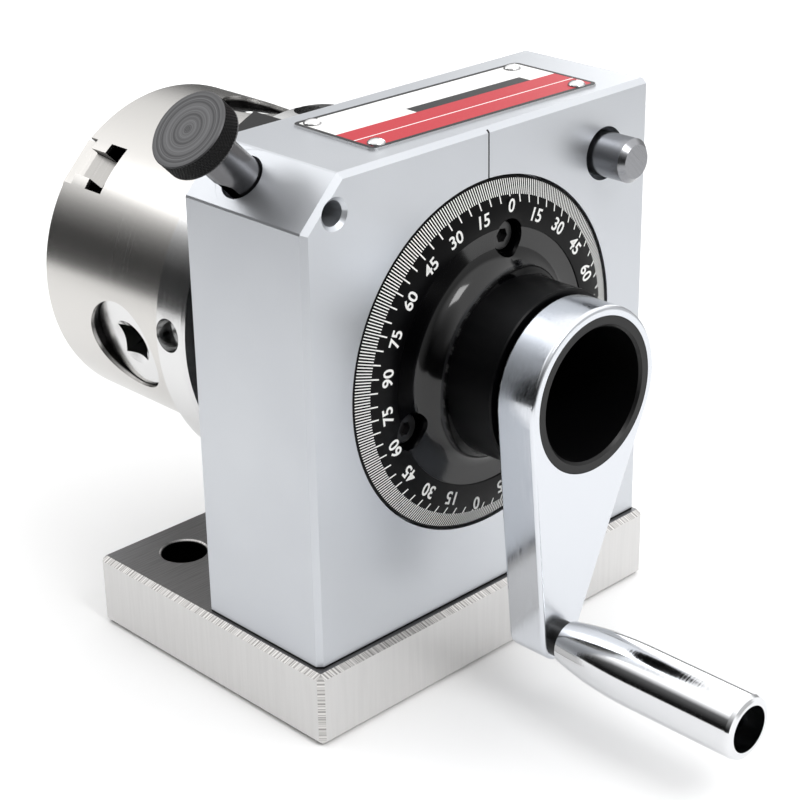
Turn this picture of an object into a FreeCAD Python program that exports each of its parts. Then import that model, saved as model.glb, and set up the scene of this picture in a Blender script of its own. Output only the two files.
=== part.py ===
# Punch former: a workholding fixture that turns a small three-jaw chuck past a fixed body.
# +Z is up, the dial and crank face -Y, the chuck points to +Y, and the origin is on the
# underside of the base plate at its centre.  All sizes are millimetres and degrees.
import FreeCAD, Part
import math
import os
import re
import Sketcher

V = FreeCAD.Vector
doc = FreeCAD.newDocument("punch_former")
sheet = doc.addObject("Spreadsheet::Sheet", "sizes")

# Driving sizes: name, value, meaning
SIZES = [
    ("base_width", 109.0, "base plate, left to right"),
    ("base_depth", 79.0, "base plate, front to back"),
    ("base_height", 18.0, "base plate thickness"),
    ("base_edge", 1.2, "base plate edge chamfer"),
    ("base_bolt_spacing", 77.8, "between the two hold-down holes"),
    ("base_bolt_back", 26.45, "hold-down holes behind the base centre"),
    ("base_bolt_radius", 5.5, "hold-down hole"),
    ("front_ledge", 2.3, "base plate in front of the body"),
    ("block_width", 105.0, "body, left to right"),
    ("block_depth", 37.0, "body, front to back"),
    ("block_height", 110.0, "body above the base plate"),
    ("block_edge", 1.2, "body chamfer along the edges of its front"),
    ("block_ease", 0.3, "body chamfer along the other edges"),
    ("block_corner", 10.4, "legs of the sloping corner that carries the plunger"),
    ("spindle_rise", 58.0, "spindle axis above the base plate"),
    ("mark_across", 0.5, "reference line beside the spindle axis"),
    ("mark_width", 0.4, "reference line"),
    ("mark_depth", 0.2, "reference line"),
    ("liner_outer", 36.0, "hardened liner in the body, radius"),
    ("ring_outer", 32.0, "index ring journal, radius"),
    ("journal_clearance", 0.03, "index ring in its liner, on the radius"),
    ("ring_holes", 24.0, "index positions"),
    ("ring_hole_depth", 6.2, "index hole below the journal"),
    ("seat_radius", 20.0, "spindle under the index ring"),
    ("shaft_radius", 17.5, "spindle under dial and crank"),
    ("spindle_bore", 15.0, "through bore, radius"),
    ("bore_lip", 0.6, "chamfer at the spindle mouth"),
    ("recess_depth", 5.0, "dial recess in the body"),
    ("dial_radius", 40.5, "dial"),
    ("dial_gap", 0.3, "dial in its recess, on the radius"),
    ("dial_proud", 0.45, "dial face in front of the body"),
    ("dial_lift", 0.1, "dial above the recess floor"),
    ("dial_step", 0.25, "scale ring above the inner face"),
    ("scale_inner", 29.5, "inner edge of the scale ring, radius"),
    ("cone_radius", 23.9, "foot of the hub cone, radius"),
    ("cone_foot", 2.0, "foot of the hub cone in front of the body"),
    ("hub_radius", 20.4, "dial hub"),
    ("hub_foot", 7.4, "start of the hub in front of the body"),
    ("hub_front", 20.1, "end of the hub in front of the body"),
    ("dial_screw_circle", 27.2, "dial screws, radius of their circle"),
    ("dial_screw_head", 3.4, "dial screw head radius"),
    ("dial_screw_shank", 2.0, "dial screw shank radius"),
    ("dial_screw_sunk", 3.6, "dial screw counterbore below the scale"),
    ("dial_counterbore", 4.3, "counterbore radius"),
    ("dial_turn", 10.0, "dial and crank turned from zero"),
    ("arm_back", 20.8, "back of the crank arm in front of the body"),
    ("arm_thickness", 10.5, "crank arm"),
    ("arm_hub_radius", 19.5, "crank arm round the spindle"),
    ("arm_end_radius", 5.2, "crank arm round the handle"),
    ("arm_reach", 56.0, "spindle axis to handle axis"),
    ("arm_edge", 0.9, "crank arm edge rounding"),
    ("axle_radius", 3.0, "handle axle"),
    ("axle_clearance", 0.06, "grip on its axle, on the radius"),
    ("neck_radius", 4.1, "collar between arm and grip"),
    ("neck_length", 2.6, "collar between arm and grip"),
    ("grip_length", 48.4, "handle grip"),
    ("grip_start_radius", 4.9, "grip at the arm"),
    ("grip_radius", 7.15, "grip at its full width"),
    ("grip_swell", 20.0, "length of the swelling part"),
    ("grip_mouth_radius", 5.2, "end bore that hides the axle head"),
    ("grip_mouth_depth", 19.0, "end bore"),
    ("axle_head_radius", 4.6, "axle head"),
    ("axle_head_length", 4.4, "axle head"),
    ("washer_thickness", 0.5, "thrust washer"),
    ("washer_gap", 0.05, "running gap at the thrust washer"),
    ("flange_radius", 36.0, "spindle flange"),
    ("flange_back", 51.9, "back of the spindle flange behind the body front"),
    ("spigot_radius", 28.0, "spindle spigot in the adapter"),
    ("spigot_length", 6.1, "spindle spigot"),
    ("chuck_turn", 15.0, "chuck turned from zero"),
    ("adapter_radius", 44.2, "adapter plate"),
    ("adapter_thickness", 10.1, "adapter plate"),
    ("adapter_edge", 0.7, "adapter plate edge"),
    ("centring_turn", -13.0, "centring screws against the chuck"),
    ("centring_mouth", 4.0, "centring screw hole, radius at its mouth"),
    ("centring_screw", 3.0, "centring screw radius"),
    ("centring_sunk", 5.2, "centring screw below the rim"),
    ("centring_back", 5.5, "centring screws behind the flange"),
    ("rim_block_turn", -40.0, "rim block against the chuck"),
    ("rim_block_width", 17.4, "rim block"),
    ("rim_block_top", 46.6, "top of the rim block from the axis"),
    ("rim_screw_head", 2.6, "rim block screw head radius"),
    ("rim_screw_sunk", 1.3, "rim block counterbore"),
    ("rim_screw_shank", 1.5, "rim block screw shank radius"),
    ("rim_screw_grip", 6.0, "rim block screw inside the adapter"),
    ("nose_circle", 31.0, "nose screws, radius of their circle"),
    ("bolt_turn", 60.0, "first chuck bolt from the first pinion"),
    ("bolt_circle", 35.4, "chuck bolts, radius of their circle"),
    ("bolt_shank", 2.0, "chuck bolt and nose screw shank radius"),
    ("bolt_head", 3.5, "chuck bolt and nose screw head radius"),
    ("bolt_head_length", 4.0, "chuck bolt and nose screw head"),
    ("chuck_radius", 40.0, "chuck body"),
    ("chuck_length", 48.8, "chuck body"),
    ("chuck_edge", 1.0, "chuck body edge"),
    ("chuck_bore", 8.0, "through bore of the chuck, radius"),
    ("core_radius", 12.0, "core that carries the scroll, radius"),
    ("cavity_radius", 33.0, "scroll chamber, radius"),
    ("cover_radius", 38.0, "back cover flange, radius"),
    ("cover_flange", 5.0, "back cover flange thickness"),
    ("cover_plug", 9.6, "back cover inside the chamber"),
    ("cover_screw_turn", 90.0, "first cover screw from the first pinion"),
    ("cover_screw_sunk", 3.0, "cover screw counterbore"),
    ("cover_screw_shank", 1.5, "cover screw shank radius"),
    ("cover_screw_head", 2.5, "cover screw head radius"),
    ("jaw_turn", 60.0, "first jaw from the first pinion"),
    ("slot_width", 12.7, "jaw slot"),
    ("slot_neck", 7.3, "jaw slot between its guide ribs"),
    ("slot_lip", 3.7, "jaw slot above its guide ribs"),
    ("rib_height", 5.5, "guide rib"),
    ("slot_depth", 15.3, "jaw slot"),
    ("jaw_clearance", 0.1, "jaw in its slot, each side"),
    ("jaw_inner", 10.0, "gripping step of the open jaw from the axis"),
    ("jaw_outer", 37.5, "outer end of the open jaw from the axis"),
    ("jaw_high", 15.0, "gripping step above the chuck face"),
    ("jaw_middle", 9.5, "second step above the chuck face"),
    ("jaw_low", 4.0, "third step above the chuck face"),
    ("jaw_step", 7.5, "length of one jaw step"),
    ("jaw_end_slope", 5.0, "lean of the jaw's outer end"),
    ("jaw_end_relief", 8.0, "outer part of the jaw without flanges"),
    ("jaw_web", 4.8, "jaw foot where it has no flanges"),
    ("jaw_nose", 2.6, "flat at the tip of the gripping step"),
    ("scroll_pitch", 4.0, "jaw travel for one turn of the scroll"),
    ("scroll_ridge", 1.6, "spiral ridge width"),
    ("scroll_tooth", 2.6, "spiral ridge height"),
    ("scroll_gap", 0.1, "running gap of the scroll"),
    ("scroll_start", 13.2, "inner end of the spiral, radius"),
    ("scroll_end", 31.6, "outer end of the spiral, radius"),
    ("jaw_tooth", 1.2, "jaw tooth width"),
    ("jaw_tooth_angle", 9.0, "half the angle of a jaw tooth"),
    ("first_tooth", 21.0, "innermost tooth of the first jaw, radius"),
    ("pinion_back", 28.6, "pinion axis behind the chuck face"),
    ("bevel_slope", 0.16667, "pinion teeth over scroll teeth"),
    ("bevel_gap", 0.4, "between the plain bevel cones"),
    ("bevel_inner", 23.0, "small end of the bevel from the axis"),
    ("pinion_radius", 11.9, "pinion head"),
    ("pinion_clearance", 0.05, "pinion in its bore, on the radius"),
    ("pinion_seat", 33.9, "bottom of the pinion head from the axis"),
    ("pinion_top", 37.2, "top of the pinion head from the axis"),
    ("pinion_tail", 3.0, "pinion tail journal radius"),
    ("tail_end", 9.4, "end of the pinion tail from the axis"),
    ("key_square", 8.0, "key socket across flats"),
    ("key_depth", 12.0, "key socket"),
    ("key_countersink", 5.9, "round mouth of the key socket, radius"),
    ("keeper_radius", 0.8, "pinion keeper pin"),
    ("keeper_height", 35.7, "keeper pin from the axis"),
    ("keeper_reach", 1.0, "keeper pin in the pinion groove"),
    ("plunger_back", 24.6, "plunger axis behind the body front"),
    ("plunger_angle", -45.0, "plunger axis from upright"),
    ("plunger_face", 66.5, "sloping corner from the spindle axis"),
    ("bush_radius", 6.67, "plunger bush"),
    ("bush_start", 38.0, "inner end of the bush from the spindle axis"),
    ("stem_radius", 4.6, "plunger stem"),
    ("stem_clearance", 0.05, "plunger in its guides, on the radius"),
    ("pin_radius", 3.0, "index pin tip"),
    ("pin_start", 32.9, "index pin tip from the spindle axis, drawn out"),
    ("rod_radius", 2.4, "index pin rod"),
    ("collar_start", 45.0, "spring collar from the spindle axis"),
    ("collar_length", 1.5, "spring collar"),
    ("ledge_start", 52.0, "spring ledge of the bush from the spindle axis"),
    ("ledge_length", 1.5, "spring ledge of the bush"),
    ("stem_start", 60.0, "lower end of the stem from the spindle axis"),
    ("knob_start", 80.1, "knob from the spindle axis"),
    ("knob_length", 5.0, "knob"),
    ("knob_radius", 8.95, "knob"),
    ("knob_edge", 0.25, "knob edge chamfer"),
    ("guide_mouth", 0.5, "wider mouth of the bush round the stem"),
    ("key_start", 62.3, "plunger key from the spindle axis"),
    ("key_radius", 1.8, "plunger key"),
    ("stem_slot", 5.2, "slot in the stem"),
    ("slot_top", 71.4, "upper end of the stem slot from the spindle axis"),
    ("clamp_start", 62.3, "clamping screw from the spindle axis"),
    ("clamp_radius", 2.74, "clamping screw"),
    ("clamp_tip", 1.9, "clamping screw tip"),
    ("clamp_mouth_lip", 0.85, "countersink of the clamping screw hole"),
    ("stop_across", 38.4, "stop pin right of the spindle axis"),
    ("stop_rise", 37.5, "stop pin above the spindle axis"),
    ("stop_radius", 5.1, "stop pin"),
    ("stop_proud", 9.25, "stop pin in front of the body"),
    ("stop_edge", 1.2, "stop pin end chamfer"),
    ("stop_recess", 6.2, "recess round the stop pin, radius"),
    ("stop_recess_depth", 6.0, "recess round the stop pin"),
    ("stop_seat", 22.0, "end of the stop pin behind the body front"),
    ("plate_width", 68.3, "name plate"),
    ("plate_depth", 25.9, "name plate"),
    ("plate_thickness", 0.5, "name plate"),
    ("plate_across", 6.8, "name plate right of the spindle axis"),
    ("plate_back", 17.9, "name plate behind the body front"),
    ("plate_turn", -1.5, "name plate turned on the body"),
    ("plate_corner", 1.6, "name plate corner rounding"),
    ("rivet_spacing", 60.5, "rivets along the name plate"),
    ("rivet_rows", 20.1, "rivets across the name plate"),
    ("rivet_shift", -0.8, "rivet pattern along the name plate"),
    ("rivet_back", -0.5, "rivet pattern across the name plate"),
    ("rivet_head", 2.05, "rivet head radius"),
    ("rivet_dome", 1.2, "rivet head height"),
    ("rivet_shank", 0.9, "rivet shank radius"),
    ("rivet_length", 4.0, "rivet shank"),
    ("foot_screw_spread", 80.0, "body screws, left to right"),
    ("foot_screw_rows", 18.0, "body screws, front to back"),
    ("foot_screw_head", 5.0, "body screw head radius"),
    ("foot_screw_sunk", 8.0, "body screw counterbore"),
    ("foot_screw_head_length", 6.0, "body screw head"),
    ("foot_screw_shank", 3.0, "body screw shank radius"),
    ("foot_screw_grip", 15.0, "body screw inside the body"),
    ("dowel_spread", 44.0, "dowels, left to right"),
    ("dowel_radius", 3.0, "dowel"),
    ("dowel_sunk", 4.0, "dowel above the underside"),
    ("dowel_grip", 12.0, "dowel inside the body"),
]

for row, (alias, value, meaning) in enumerate(SIZES, start=1):
    sheet.set("A%d" % row, alias)
    sheet.set("B%d" % row, str(value))
    sheet.set("C%d" % row, meaning)
    sheet.setAlias("B%d" % row, alias)
doc.recompute()
ALIASES = set(alias for alias, value, meaning in SIZES)

# Places that several pieces share
FRONT = "(front_ledge - base_depth / 2)"
AXIS = "(base_height + spindle_rise)"
ADAPTER_BACK = "(flange_back + adapter_thickness)"
CHUCK_FACE = "(flange_back + adapter_thickness + chuck_length)"
SLOT_FLOOR = "(flange_back + adapter_thickness + chuck_length - slot_depth)"
PINION_AXIS = "(flange_back + adapter_thickness + chuck_length - pinion_back)"
DIAL_BACK = "(recess_depth - dial_lift)"
ARM_FRONT = "(arm_back + arm_thickness)"
GRIP_START = "(arm_back + arm_thickness + neck_length)"
WASHER_BACK = "(block_depth + washer_thickness + washer_gap)"
LINER_INNER = "(ring_outer + journal_clearance)"


def bound(text):
    """The expression with each size pointing at its cell."""
    return re.sub(r"[a-z][a-z_]*", lambda m: "sizes." + m.group(0) if m.group(0) in ALIASES else m.group(0),
                  text)


def number(text):
    """The present value of an expression."""
    return float(sheet.evalExpression(text))


def place(item, across="0", back="0", up="0", axis=None, turn="0"):
    """Put a piece in the shared frame, each term tied to the sizes."""
    spin = FreeCAD.Rotation(axis if axis else V(0, 0, 1), number(turn))
    item.Placement = FreeCAD.Placement(V(number(across), number(back), number(up)), spin)
    item.setExpression(".Placement.Base.x", bound(across))
    item.setExpression(".Placement.Base.y", bound(back))
    item.setExpression(".Placement.Base.z", bound(up))
    if axis:
        item.setExpression(".Placement.Rotation.Angle", bound(turn))


def on_spindle(item, turn="0"):
    """Local Y is the spindle axis, measured back from the body's front face."""
    place(item, "0", FRONT, AXIS, V(0, 1, 0), turn)


def new_body(name):
    body = doc.addObject("PartDesign::Body", name)
    body.Label = name
    return body


def origin_part(body, role):
    return [part for part in body.Origin.OriginFeatures if part.Role == role][0]


def sketch(body, name, plane, lift="0", turn=None, shift=None):
    """A sketch on an origin plane, lifted along its normal or turned about local Y."""
    item = body.newObject("Sketcher::SketchObject", name)
    item.AttachmentSupport = [(origin_part(body, plane), "")]
    item.MapMode = "FlatFace"
    if turn is None:
        item.AttachmentOffset = FreeCAD.Placement(V(0, 0, number(lift)), FreeCAD.Rotation())
        item.setExpression("AttachmentOffset.Base.z", bound(lift))
    else:
        across = "(%s) * sin(%s)" % (lift, turn)
        upward = "(%s) * cos(%s)" % (lift, turn)
        item.AttachmentOffset = FreeCAD.Placement(V(number(across), 0, number(upward)),
                                                  FreeCAD.Rotation(V(0, 1, 0), number(turn)))
        item.setExpression("AttachmentOffset.Base.x", bound(across))
        item.setExpression("AttachmentOffset.Base.z", bound(upward))
        item.setExpression("AttachmentOffset.Rotation.Angle", bound(turn))
    return item


def pin_point(item, geometry, end, across, upward):
    """Fix one sketch point by two dimensions from the sketch origin."""
    spot = item.addConstraint(Sketcher.Constraint("DistanceX", -1, 1, geometry, end, number(across)))
    item.setExpression("Constraints[%d]" % spot, bound(across))
    spot = item.addConstraint(Sketcher.Constraint("DistanceY", -1, 1, geometry, end, number(upward)))
    item.setExpression("Constraints[%d]" % spot, bound(upward))


def polygon(item, corners):
    """A closed outline; every corner is a pair of expressions."""
    first = item.GeometryCount
    points = [V(number(a), number(b), 0) for a, b in corners]
    count = len(points)
    for i in range(count):
        item.addGeometry(Part.LineSegment(points[i], points[(i + 1) % count]), False)
    for i in range(count):
        item.addConstraint(Sketcher.Constraint("Coincident", first + i, 2, first + (i + 1) % count, 1))
    for i in range(count):
        pin_point(item, first + i, 1, corners[i][0], corners[i][1])


def rectangle(item, left, right, bottom, top):
    polygon(item, [(left, bottom), (right, bottom), (right, top), (left, top)])


def circle(item, across, upward, radius):
    spot = item.addGeometry(Part.Circle(V(number(across), number(upward), 0), V(0, 0, 1), number(radius)), False)
    pin_point(item, spot, 3, across, upward)
    size = item.addConstraint(Sketcher.Constraint("Radius", spot, number(radius)))
    item.setExpression("Constraints[%d]" % size, bound(radius))


def hexagon(item, across, upward, flats):
    """A regular hexagon of the given width across flats."""
    corners = []
    for k in range(6):
        corners.append(("%s + (%s) / sqrt(3) * cos(%d)" % (across, flats, 60 * k),
                        "%s + (%s) / sqrt(3) * sin(%d)" % (upward, flats, 60 * k)))
    polygon(item, corners)


def pad(body, profile, length, backward=False, both=False):
    item = body.newObject("PartDesign::Pad", profile.Name + "_pad")
    item.Profile = profile
    item.Reversed = backward
    item.Midplane = both
    item.Length = number(length)
    item.setExpression("Length", bound(length))
    return item


def pocket(body, profile, length, backward=False):
    """A cut against the sketch normal, or along it when backward."""
    item = body.newObject("PartDesign::Pocket", profile.Name + "_cut")
    item.Profile = profile
    item.Reversed = backward
    item.Length = number(length)
    item.setExpression("Length", bound(length))
    return item


def revolve(body, profile, axis="V_Axis", angle="360", both=False):
    item = body.newObject("PartDesign::Revolution", profile.Name + "_turned")
    item.Profile = profile
    item.ReferenceAxis = (profile, [axis])
    item.Angle = number(angle)
    item.setExpression("Angle", bound(angle))
    item.Midplane = both
    return item


def round_spindle(body, feature, count):
    """Repeat a feature evenly about local Y."""
    item = body.newObject("PartDesign::PolarPattern", feature.Name + "_ring")
    item.Originals = [feature]
    item.Axis = (origin_part(body, "Y_Axis"), [""])
    item.Angle = 360
    item.Occurrences = int(round(number(count)))
    item.setExpression("Occurrences", bound(count))
    body.Tip = item
    return item


def ease(body, feature, kind, amount, chosen):
    """Chamfer or fillet the edges of a feature that the test chooses."""
    doc.recompute()
    names = ["Edge%d" % (i + 1) for i, edge in enumerate(feature.Shape.Edges) if chosen(edge)]
    item = body.newObject("PartDesign::" + kind, feature.Name + "_" + kind.lower())
    item.Base = (feature, names)
    sized = "Size" if kind == "Chamfer" else "Radius"
    setattr(item, sized, number(amount))
    item.setExpression(sized, bound(amount))
    return item


def lathe(name, corners, turn="0"):
    """A turned piece about local Y; corners are (radius, distance behind the body front)."""
    body = new_body(name)
    on_spindle(body, turn)
    profile = sketch(body, name + "_profile", "XY_Plane")
    polygon(profile, corners)
    revolve(body, profile)
    return body


def upright_lathe(name, corners):
    """A turned piece about local Z; corners are (radius, height)."""
    body = new_body(name)
    profile = sketch(body, name + "_profile", "XZ_Plane")
    polygon(profile, corners)
    revolve(body, profile)
    return body


def cap_screw(name, shank, head, head_length, length, socket):
    """A socket screw on local Z: head below zero, shank above it."""
    body = upright_lathe(name, [("0", "-(%s)" % head_length), ("%s - 0.3" % head, "-(%s)" % head_length),
                                (head, "0.3 - (%s)" % head_length), (head, "0"), (shank, "0"),
                                (shank, "%s - 0.5" % length), ("%s - 0.5" % shank, length), ("0", length)])
    mouth = sketch(body, name + "_socket", "XY_Plane", "-(%s)" % head_length)
    hexagon(mouth, "0", "0", socket)
    pocket(body, mouth, "(%s) * 0.55" % head_length, True)
    return body


def group(name, master, spots):
    """Several like pieces kept as separate solids in one node."""
    doc.recompute()
    item = doc.addObject("Part::Feature", name)
    item.Label = name
    pieces = []
    for spot in spots:
        piece = master.Shape.copy()
        piece.Placement = spot.multiply(piece.Placement)
        pieces.append(piece)
    item.Shape = Part.makeCompound(pieces)
    return item


def spot_on_circle(radius, angle, depth):
    """A place on a circle round local Y, its local Z pointing back along the spindle."""
    a = math.radians(angle)
    return FreeCAD.Placement(V(radius * math.sin(a), depth, radius * math.cos(a)),
                             FreeCAD.Rotation(V(1, 0, 0), -90))


def thirds(first):
    return [first + 120.0 * k for k in range(3)]


# Base plate: ground slab with two hold-down holes behind the body
base_plate = new_body("base_plate")
slab = sketch(base_plate, "base_outline", "XY_Plane")
rectangle(slab, "-base_width / 2", "base_width / 2", "-base_depth / 2", "base_depth / 2")
slab_pad = pad(base_plate, slab, "base_height")
slab_edges = ease(base_plate, slab_pad, "Chamfer", "base_edge", lambda edge: True)
hold_down = sketch(base_plate, "hold_down", "XY_Plane", "base_height")
for side in ("-", ""):
    circle(hold_down, side + "base_bolt_spacing / 2", "base_bolt_back", "base_bolt_radius")
hold_cut = pocket(base_plate, hold_down, "base_height")
hold_lip = ease(base_plate, hold_cut, "Chamfer", "0.5",
                lambda edge: edge.Curve.TypeId == "Part::GeomCircle" and abs(edge.BoundBox.ZMin - number("base_height")) < 0.01)
BODY_MIDDLE = "(%s + block_depth / 2)" % FRONT
FOOT_SPOTS = [(sx + "foot_screw_spread / 2", BODY_MIDDLE + sy + "foot_screw_rows / 2")
              for sx in ("-", "") for sy in (" - ", " + ")]
foot_holes = sketch(base_plate, "foot_screw_holes", "XY_Plane")
for across, back in FOOT_SPOTS:
    circle(foot_holes, across, back, "foot_screw_shank")
for side in ("-", ""):
    circle(foot_holes, side + "dowel_spread / 2", BODY_MIDDLE, "dowel_radius")
pocket(base_plate, foot_holes, "base_height", True)
foot_sinks = sketch(base_plate, "foot_screw_sinks", "XY_Plane")
for across, back in FOOT_SPOTS:
    circle(foot_sinks, across, back, "foot_screw_head + 0.4")
pocket(base_plate, foot_sinks, "foot_screw_sunk", True)

# Body block: sawn and ground block with one sloping corner
body_block = new_body("body_block")
on_spindle(body_block)
LEFT = "-block_width / 2"
RIGHT = "block_width / 2"
FOOT = "-spindle_rise"
TOP = "(block_height - spindle_rise)"
outline = sketch(body_block, "block_outline", "XZ_Plane")
polygon(outline, [(LEFT, FOOT), (RIGHT, FOOT), (RIGHT, TOP), (LEFT + " + block_corner", TOP),
                  (LEFT, TOP + " - block_corner")])
block_pad = pad(body_block, outline, "block_depth", True)


def at_front(edge):
    """True for the front edges that the plunger side and the top share with the front."""
    box = edge.BoundBox
    return box.YMax < 0.01 and box.ZMax > number(FOOT) + 0.01 and box.XMin < number(RIGHT) - 0.01


def elsewhere(edge):
    """True for every other edge of the block that is not at its foot."""
    return edge.BoundBox.ZMax > number(FOOT) + 0.01 and edge.BoundBox.YMax > number("block_edge") + 0.01


block_front = ease(body_block, block_pad, "Chamfer", "block_edge", at_front)
ease(body_block, block_front, "Chamfer", "block_ease", elsewhere)
mark = sketch(body_block, "reference_line", "XZ_Plane")
rectangle(mark, "mark_across - mark_width / 2", "mark_across + mark_width / 2", "dial_radius", TOP)
pocket(body_block, mark, "mark_depth")
recess = sketch(body_block, "dial_recess", "XZ_Plane")
circle(recess, "0", "0", "dial_radius + dial_gap")
pocket(body_block, recess, "recess_depth")
bore = sketch(body_block, "liner_bore", "XZ_Plane")
circle(bore, "0", "0", "liner_outer")
pocket(body_block, bore, "block_depth")
stop_ring = sketch(body_block, "stop_recess", "XZ_Plane")
circle(stop_ring, "stop_across", "stop_rise", "stop_recess")
pocket(body_block, stop_ring, "stop_recess_depth")
stop_hole = sketch(body_block, "stop_hole", "XZ_Plane")
circle(stop_hole, "stop_across", "stop_rise", "stop_radius")
pocket(body_block, stop_hole, "stop_seat")
bush_hole = sketch(body_block, "bush_hole", "XY_Plane", "plunger_face + 4", "plunger_angle")
circle(bush_hole, "0", "plunger_back", "bush_radius")
pocket(body_block, bush_hole, "plunger_face + 4 - bush_start")
pin_hole = sketch(body_block, "pin_hole", "XY_Plane", "bush_start + 1", "plunger_angle")
circle(pin_hole, "0", "plunger_back", "pin_radius + stem_clearance")
pocket(body_block, pin_hole, "bush_start + 1 - ring_outer")
CLAMP_ACROSS = "clamp_start * sin(plunger_angle)"
CLAMP_UP = "clamp_start * cos(plunger_angle)"
clamp_hole = sketch(body_block, "clamp_hole", "XZ_Plane")
circle(clamp_hole, CLAMP_ACROSS, CLAMP_UP, "clamp_radius")
pocket(body_block, clamp_hole, "plunger_back - bush_radius + 2")
clamp_mouth = sketch(body_block, "clamp_mouth", "XZ_Plane")
circle(clamp_mouth, CLAMP_ACROSS, CLAMP_UP, "clamp_radius + clamp_mouth_lip")
clamp_lip = pocket(body_block, clamp_mouth, "clamp_mouth_lip - 0.01")
clamp_lip.TaperAngle = -45
sockets = sketch(body_block, "foot_sockets", "XY_Plane", FOOT)
for sx in ("-", ""):
    for sy in (" - ", " + "):
        circle(sockets, sx + "foot_screw_spread / 2", "block_depth / 2" + sy + "foot_screw_rows / 2",
               "foot_screw_shank")
pocket(body_block, sockets, "foot_screw_grip + 1", True)
dowel_seats = sketch(body_block, "dowel_seats", "XY_Plane", FOOT)
for sx in ("-", ""):
    circle(dowel_seats, sx + "dowel_spread / 2", "block_depth / 2", "dowel_radius")
pocket(body_block, dowel_seats, "dowel_grip + 1", True)
RIVET_SPOTS = []
for sx in ("-", "+"):
    for sy in ("-", "+"):
        along = "(rivet_shift %s rivet_spacing / 2)" % sx
        over = "(rivet_back %s rivet_rows / 2)" % sy
        RIVET_SPOTS.append(("plate_across + %s * cos(plate_turn) - %s * sin(plate_turn)" % (along, over),
                            "plate_back + %s * sin(plate_turn) + %s * cos(plate_turn)" % (along, over)))
rivet_holes = sketch(body_block, "rivet_holes", "XY_Plane", TOP)
for across, back in RIVET_SPOTS:
    circle(rivet_holes, across, back, "rivet_shank")
pocket(body_block, rivet_holes, "rivet_length + 0.5")

# Screws and dowels between base plate and body
foot_screw = cap_screw("foot_screw", "foot_screw_shank", "foot_screw_head", "foot_screw_head_length",
                       "base_height - foot_screw_sunk + foot_screw_grip", "5")
base_screws = group("base_screws", foot_screw,
                    [FreeCAD.Placement(V(number(a), number(b), number("foot_screw_sunk")), FreeCAD.Rotation())
                     for a, b in FOOT_SPOTS])
dowel = upright_lathe("dowel", [("0", "dowel_sunk"), ("dowel_radius - 0.5", "dowel_sunk"),
                                ("dowel_radius", "dowel_sunk + 0.5"),
                                ("dowel_radius", "base_height + dowel_grip - 0.5"),
                                ("dowel_radius - 0.5", "base_height + dowel_grip"),
                                ("0", "base_height + dowel_grip")])
base_dowels = group("base_dowels", dowel,
                    [FreeCAD.Placement(V(side * number("dowel_spread") / 2, number(BODY_MIDDLE), 0), FreeCAD.Rotation())
                     for side in (-1, 1)])

# Hardened liner, in which the index ring turns
bore_liner = lathe("bore_liner", [(LINER_INNER, "recess_depth"), ("liner_outer", "recess_depth"),
                                  ("liner_outer", "block_depth"), (LINER_INNER, "block_depth")])
liner_hole = sketch(bore_liner, "liner_pin_hole", "XY_Plane", "liner_outer + 1", "plunger_angle")
circle(liner_hole, "0", "plunger_back", "pin_radius + stem_clearance")
pocket(bore_liner, liner_hole, "liner_outer + 1 - ring_outer + 2")

thrust_washer = lathe("thrust_washer", [("seat_radius + 0.3", "block_depth"), ("flange_radius - 1", "block_depth"),
                                        ("flange_radius - 1", "block_depth + washer_thickness"),
                                        ("seat_radius + 0.3", "block_depth + washer_thickness")])

# Stop pin, pressed into the body
stop_pin = new_body("stop_pin")
place(stop_pin, "stop_across", FRONT, AXIS + " + stop_rise")
stop_profile = sketch(stop_pin, "stop_profile", "XY_Plane")
polygon(stop_profile, [("0", "-stop_proud"), ("stop_radius - stop_edge", "-stop_proud"),
                       ("stop_radius", "stop_edge - stop_proud"), ("stop_radius", "stop_seat"), ("0", "stop_seat")])
revolve(stop_pin, stop_profile)

# Name plate with its four dome rivets
name_plate = new_body("name_plate")
place(name_plate, "plate_across", FRONT + " + plate_back", "base_height + block_height", V(0, 0, 1), "plate_turn")
plate_outline = sketch(name_plate, "plate_outline", "XY_Plane")
rectangle(plate_outline, "-plate_width / 2", "plate_width / 2", "-plate_depth / 2", "plate_depth / 2")
plate_pad = pad(name_plate, plate_outline, "plate_thickness")
ease(name_plate, plate_pad, "Fillet", "plate_corner", lambda edge: edge.BoundBox.ZLength > number("plate_thickness") / 2)
plate_holes = sketch(name_plate, "plate_holes", "XY_Plane", "plate_thickness")
for sx in (" - ", " + "):
    for sy in (" - ", " + "):
        circle(plate_holes, "rivet_shift" + sx + "rivet_spacing / 2", "rivet_back" + sy + "rivet_rows / 2",
               "rivet_shank")
pocket(name_plate, plate_holes, "plate_thickness")
rivet = new_body("rivet")
rivet_profile = sketch(rivet, "rivet_profile", "XZ_Plane")
polygon(rivet_profile, [("0", "-rivet_length"), ("rivet_shank", "-rivet_length"), ("rivet_shank", "plate_thickness"),
                        ("rivet_head", "plate_thickness"),
                        ("rivet_head * 0.72", "plate_thickness + rivet_dome * 0.62"),
                        ("rivet_head * 0.36", "plate_thickness + rivet_dome * 0.92"),
                        ("0", "plate_thickness + rivet_dome")])
revolve(rivet, rivet_profile)
plate_rivets = group("plate_rivets", rivet,
                     [FreeCAD.Placement(V(number(a), number(FRONT + " + " + b), number("base_height + block_height")),
                                        FreeCAD.Rotation()) for a, b in RIVET_SPOTS])


def on_plunger(item):
    """Local Z is the plunger axis, measured out from the spindle axis."""
    place(item, "0", FRONT + " + plunger_back", AXIS, V(0, 1, 0), "plunger_angle")


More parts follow.
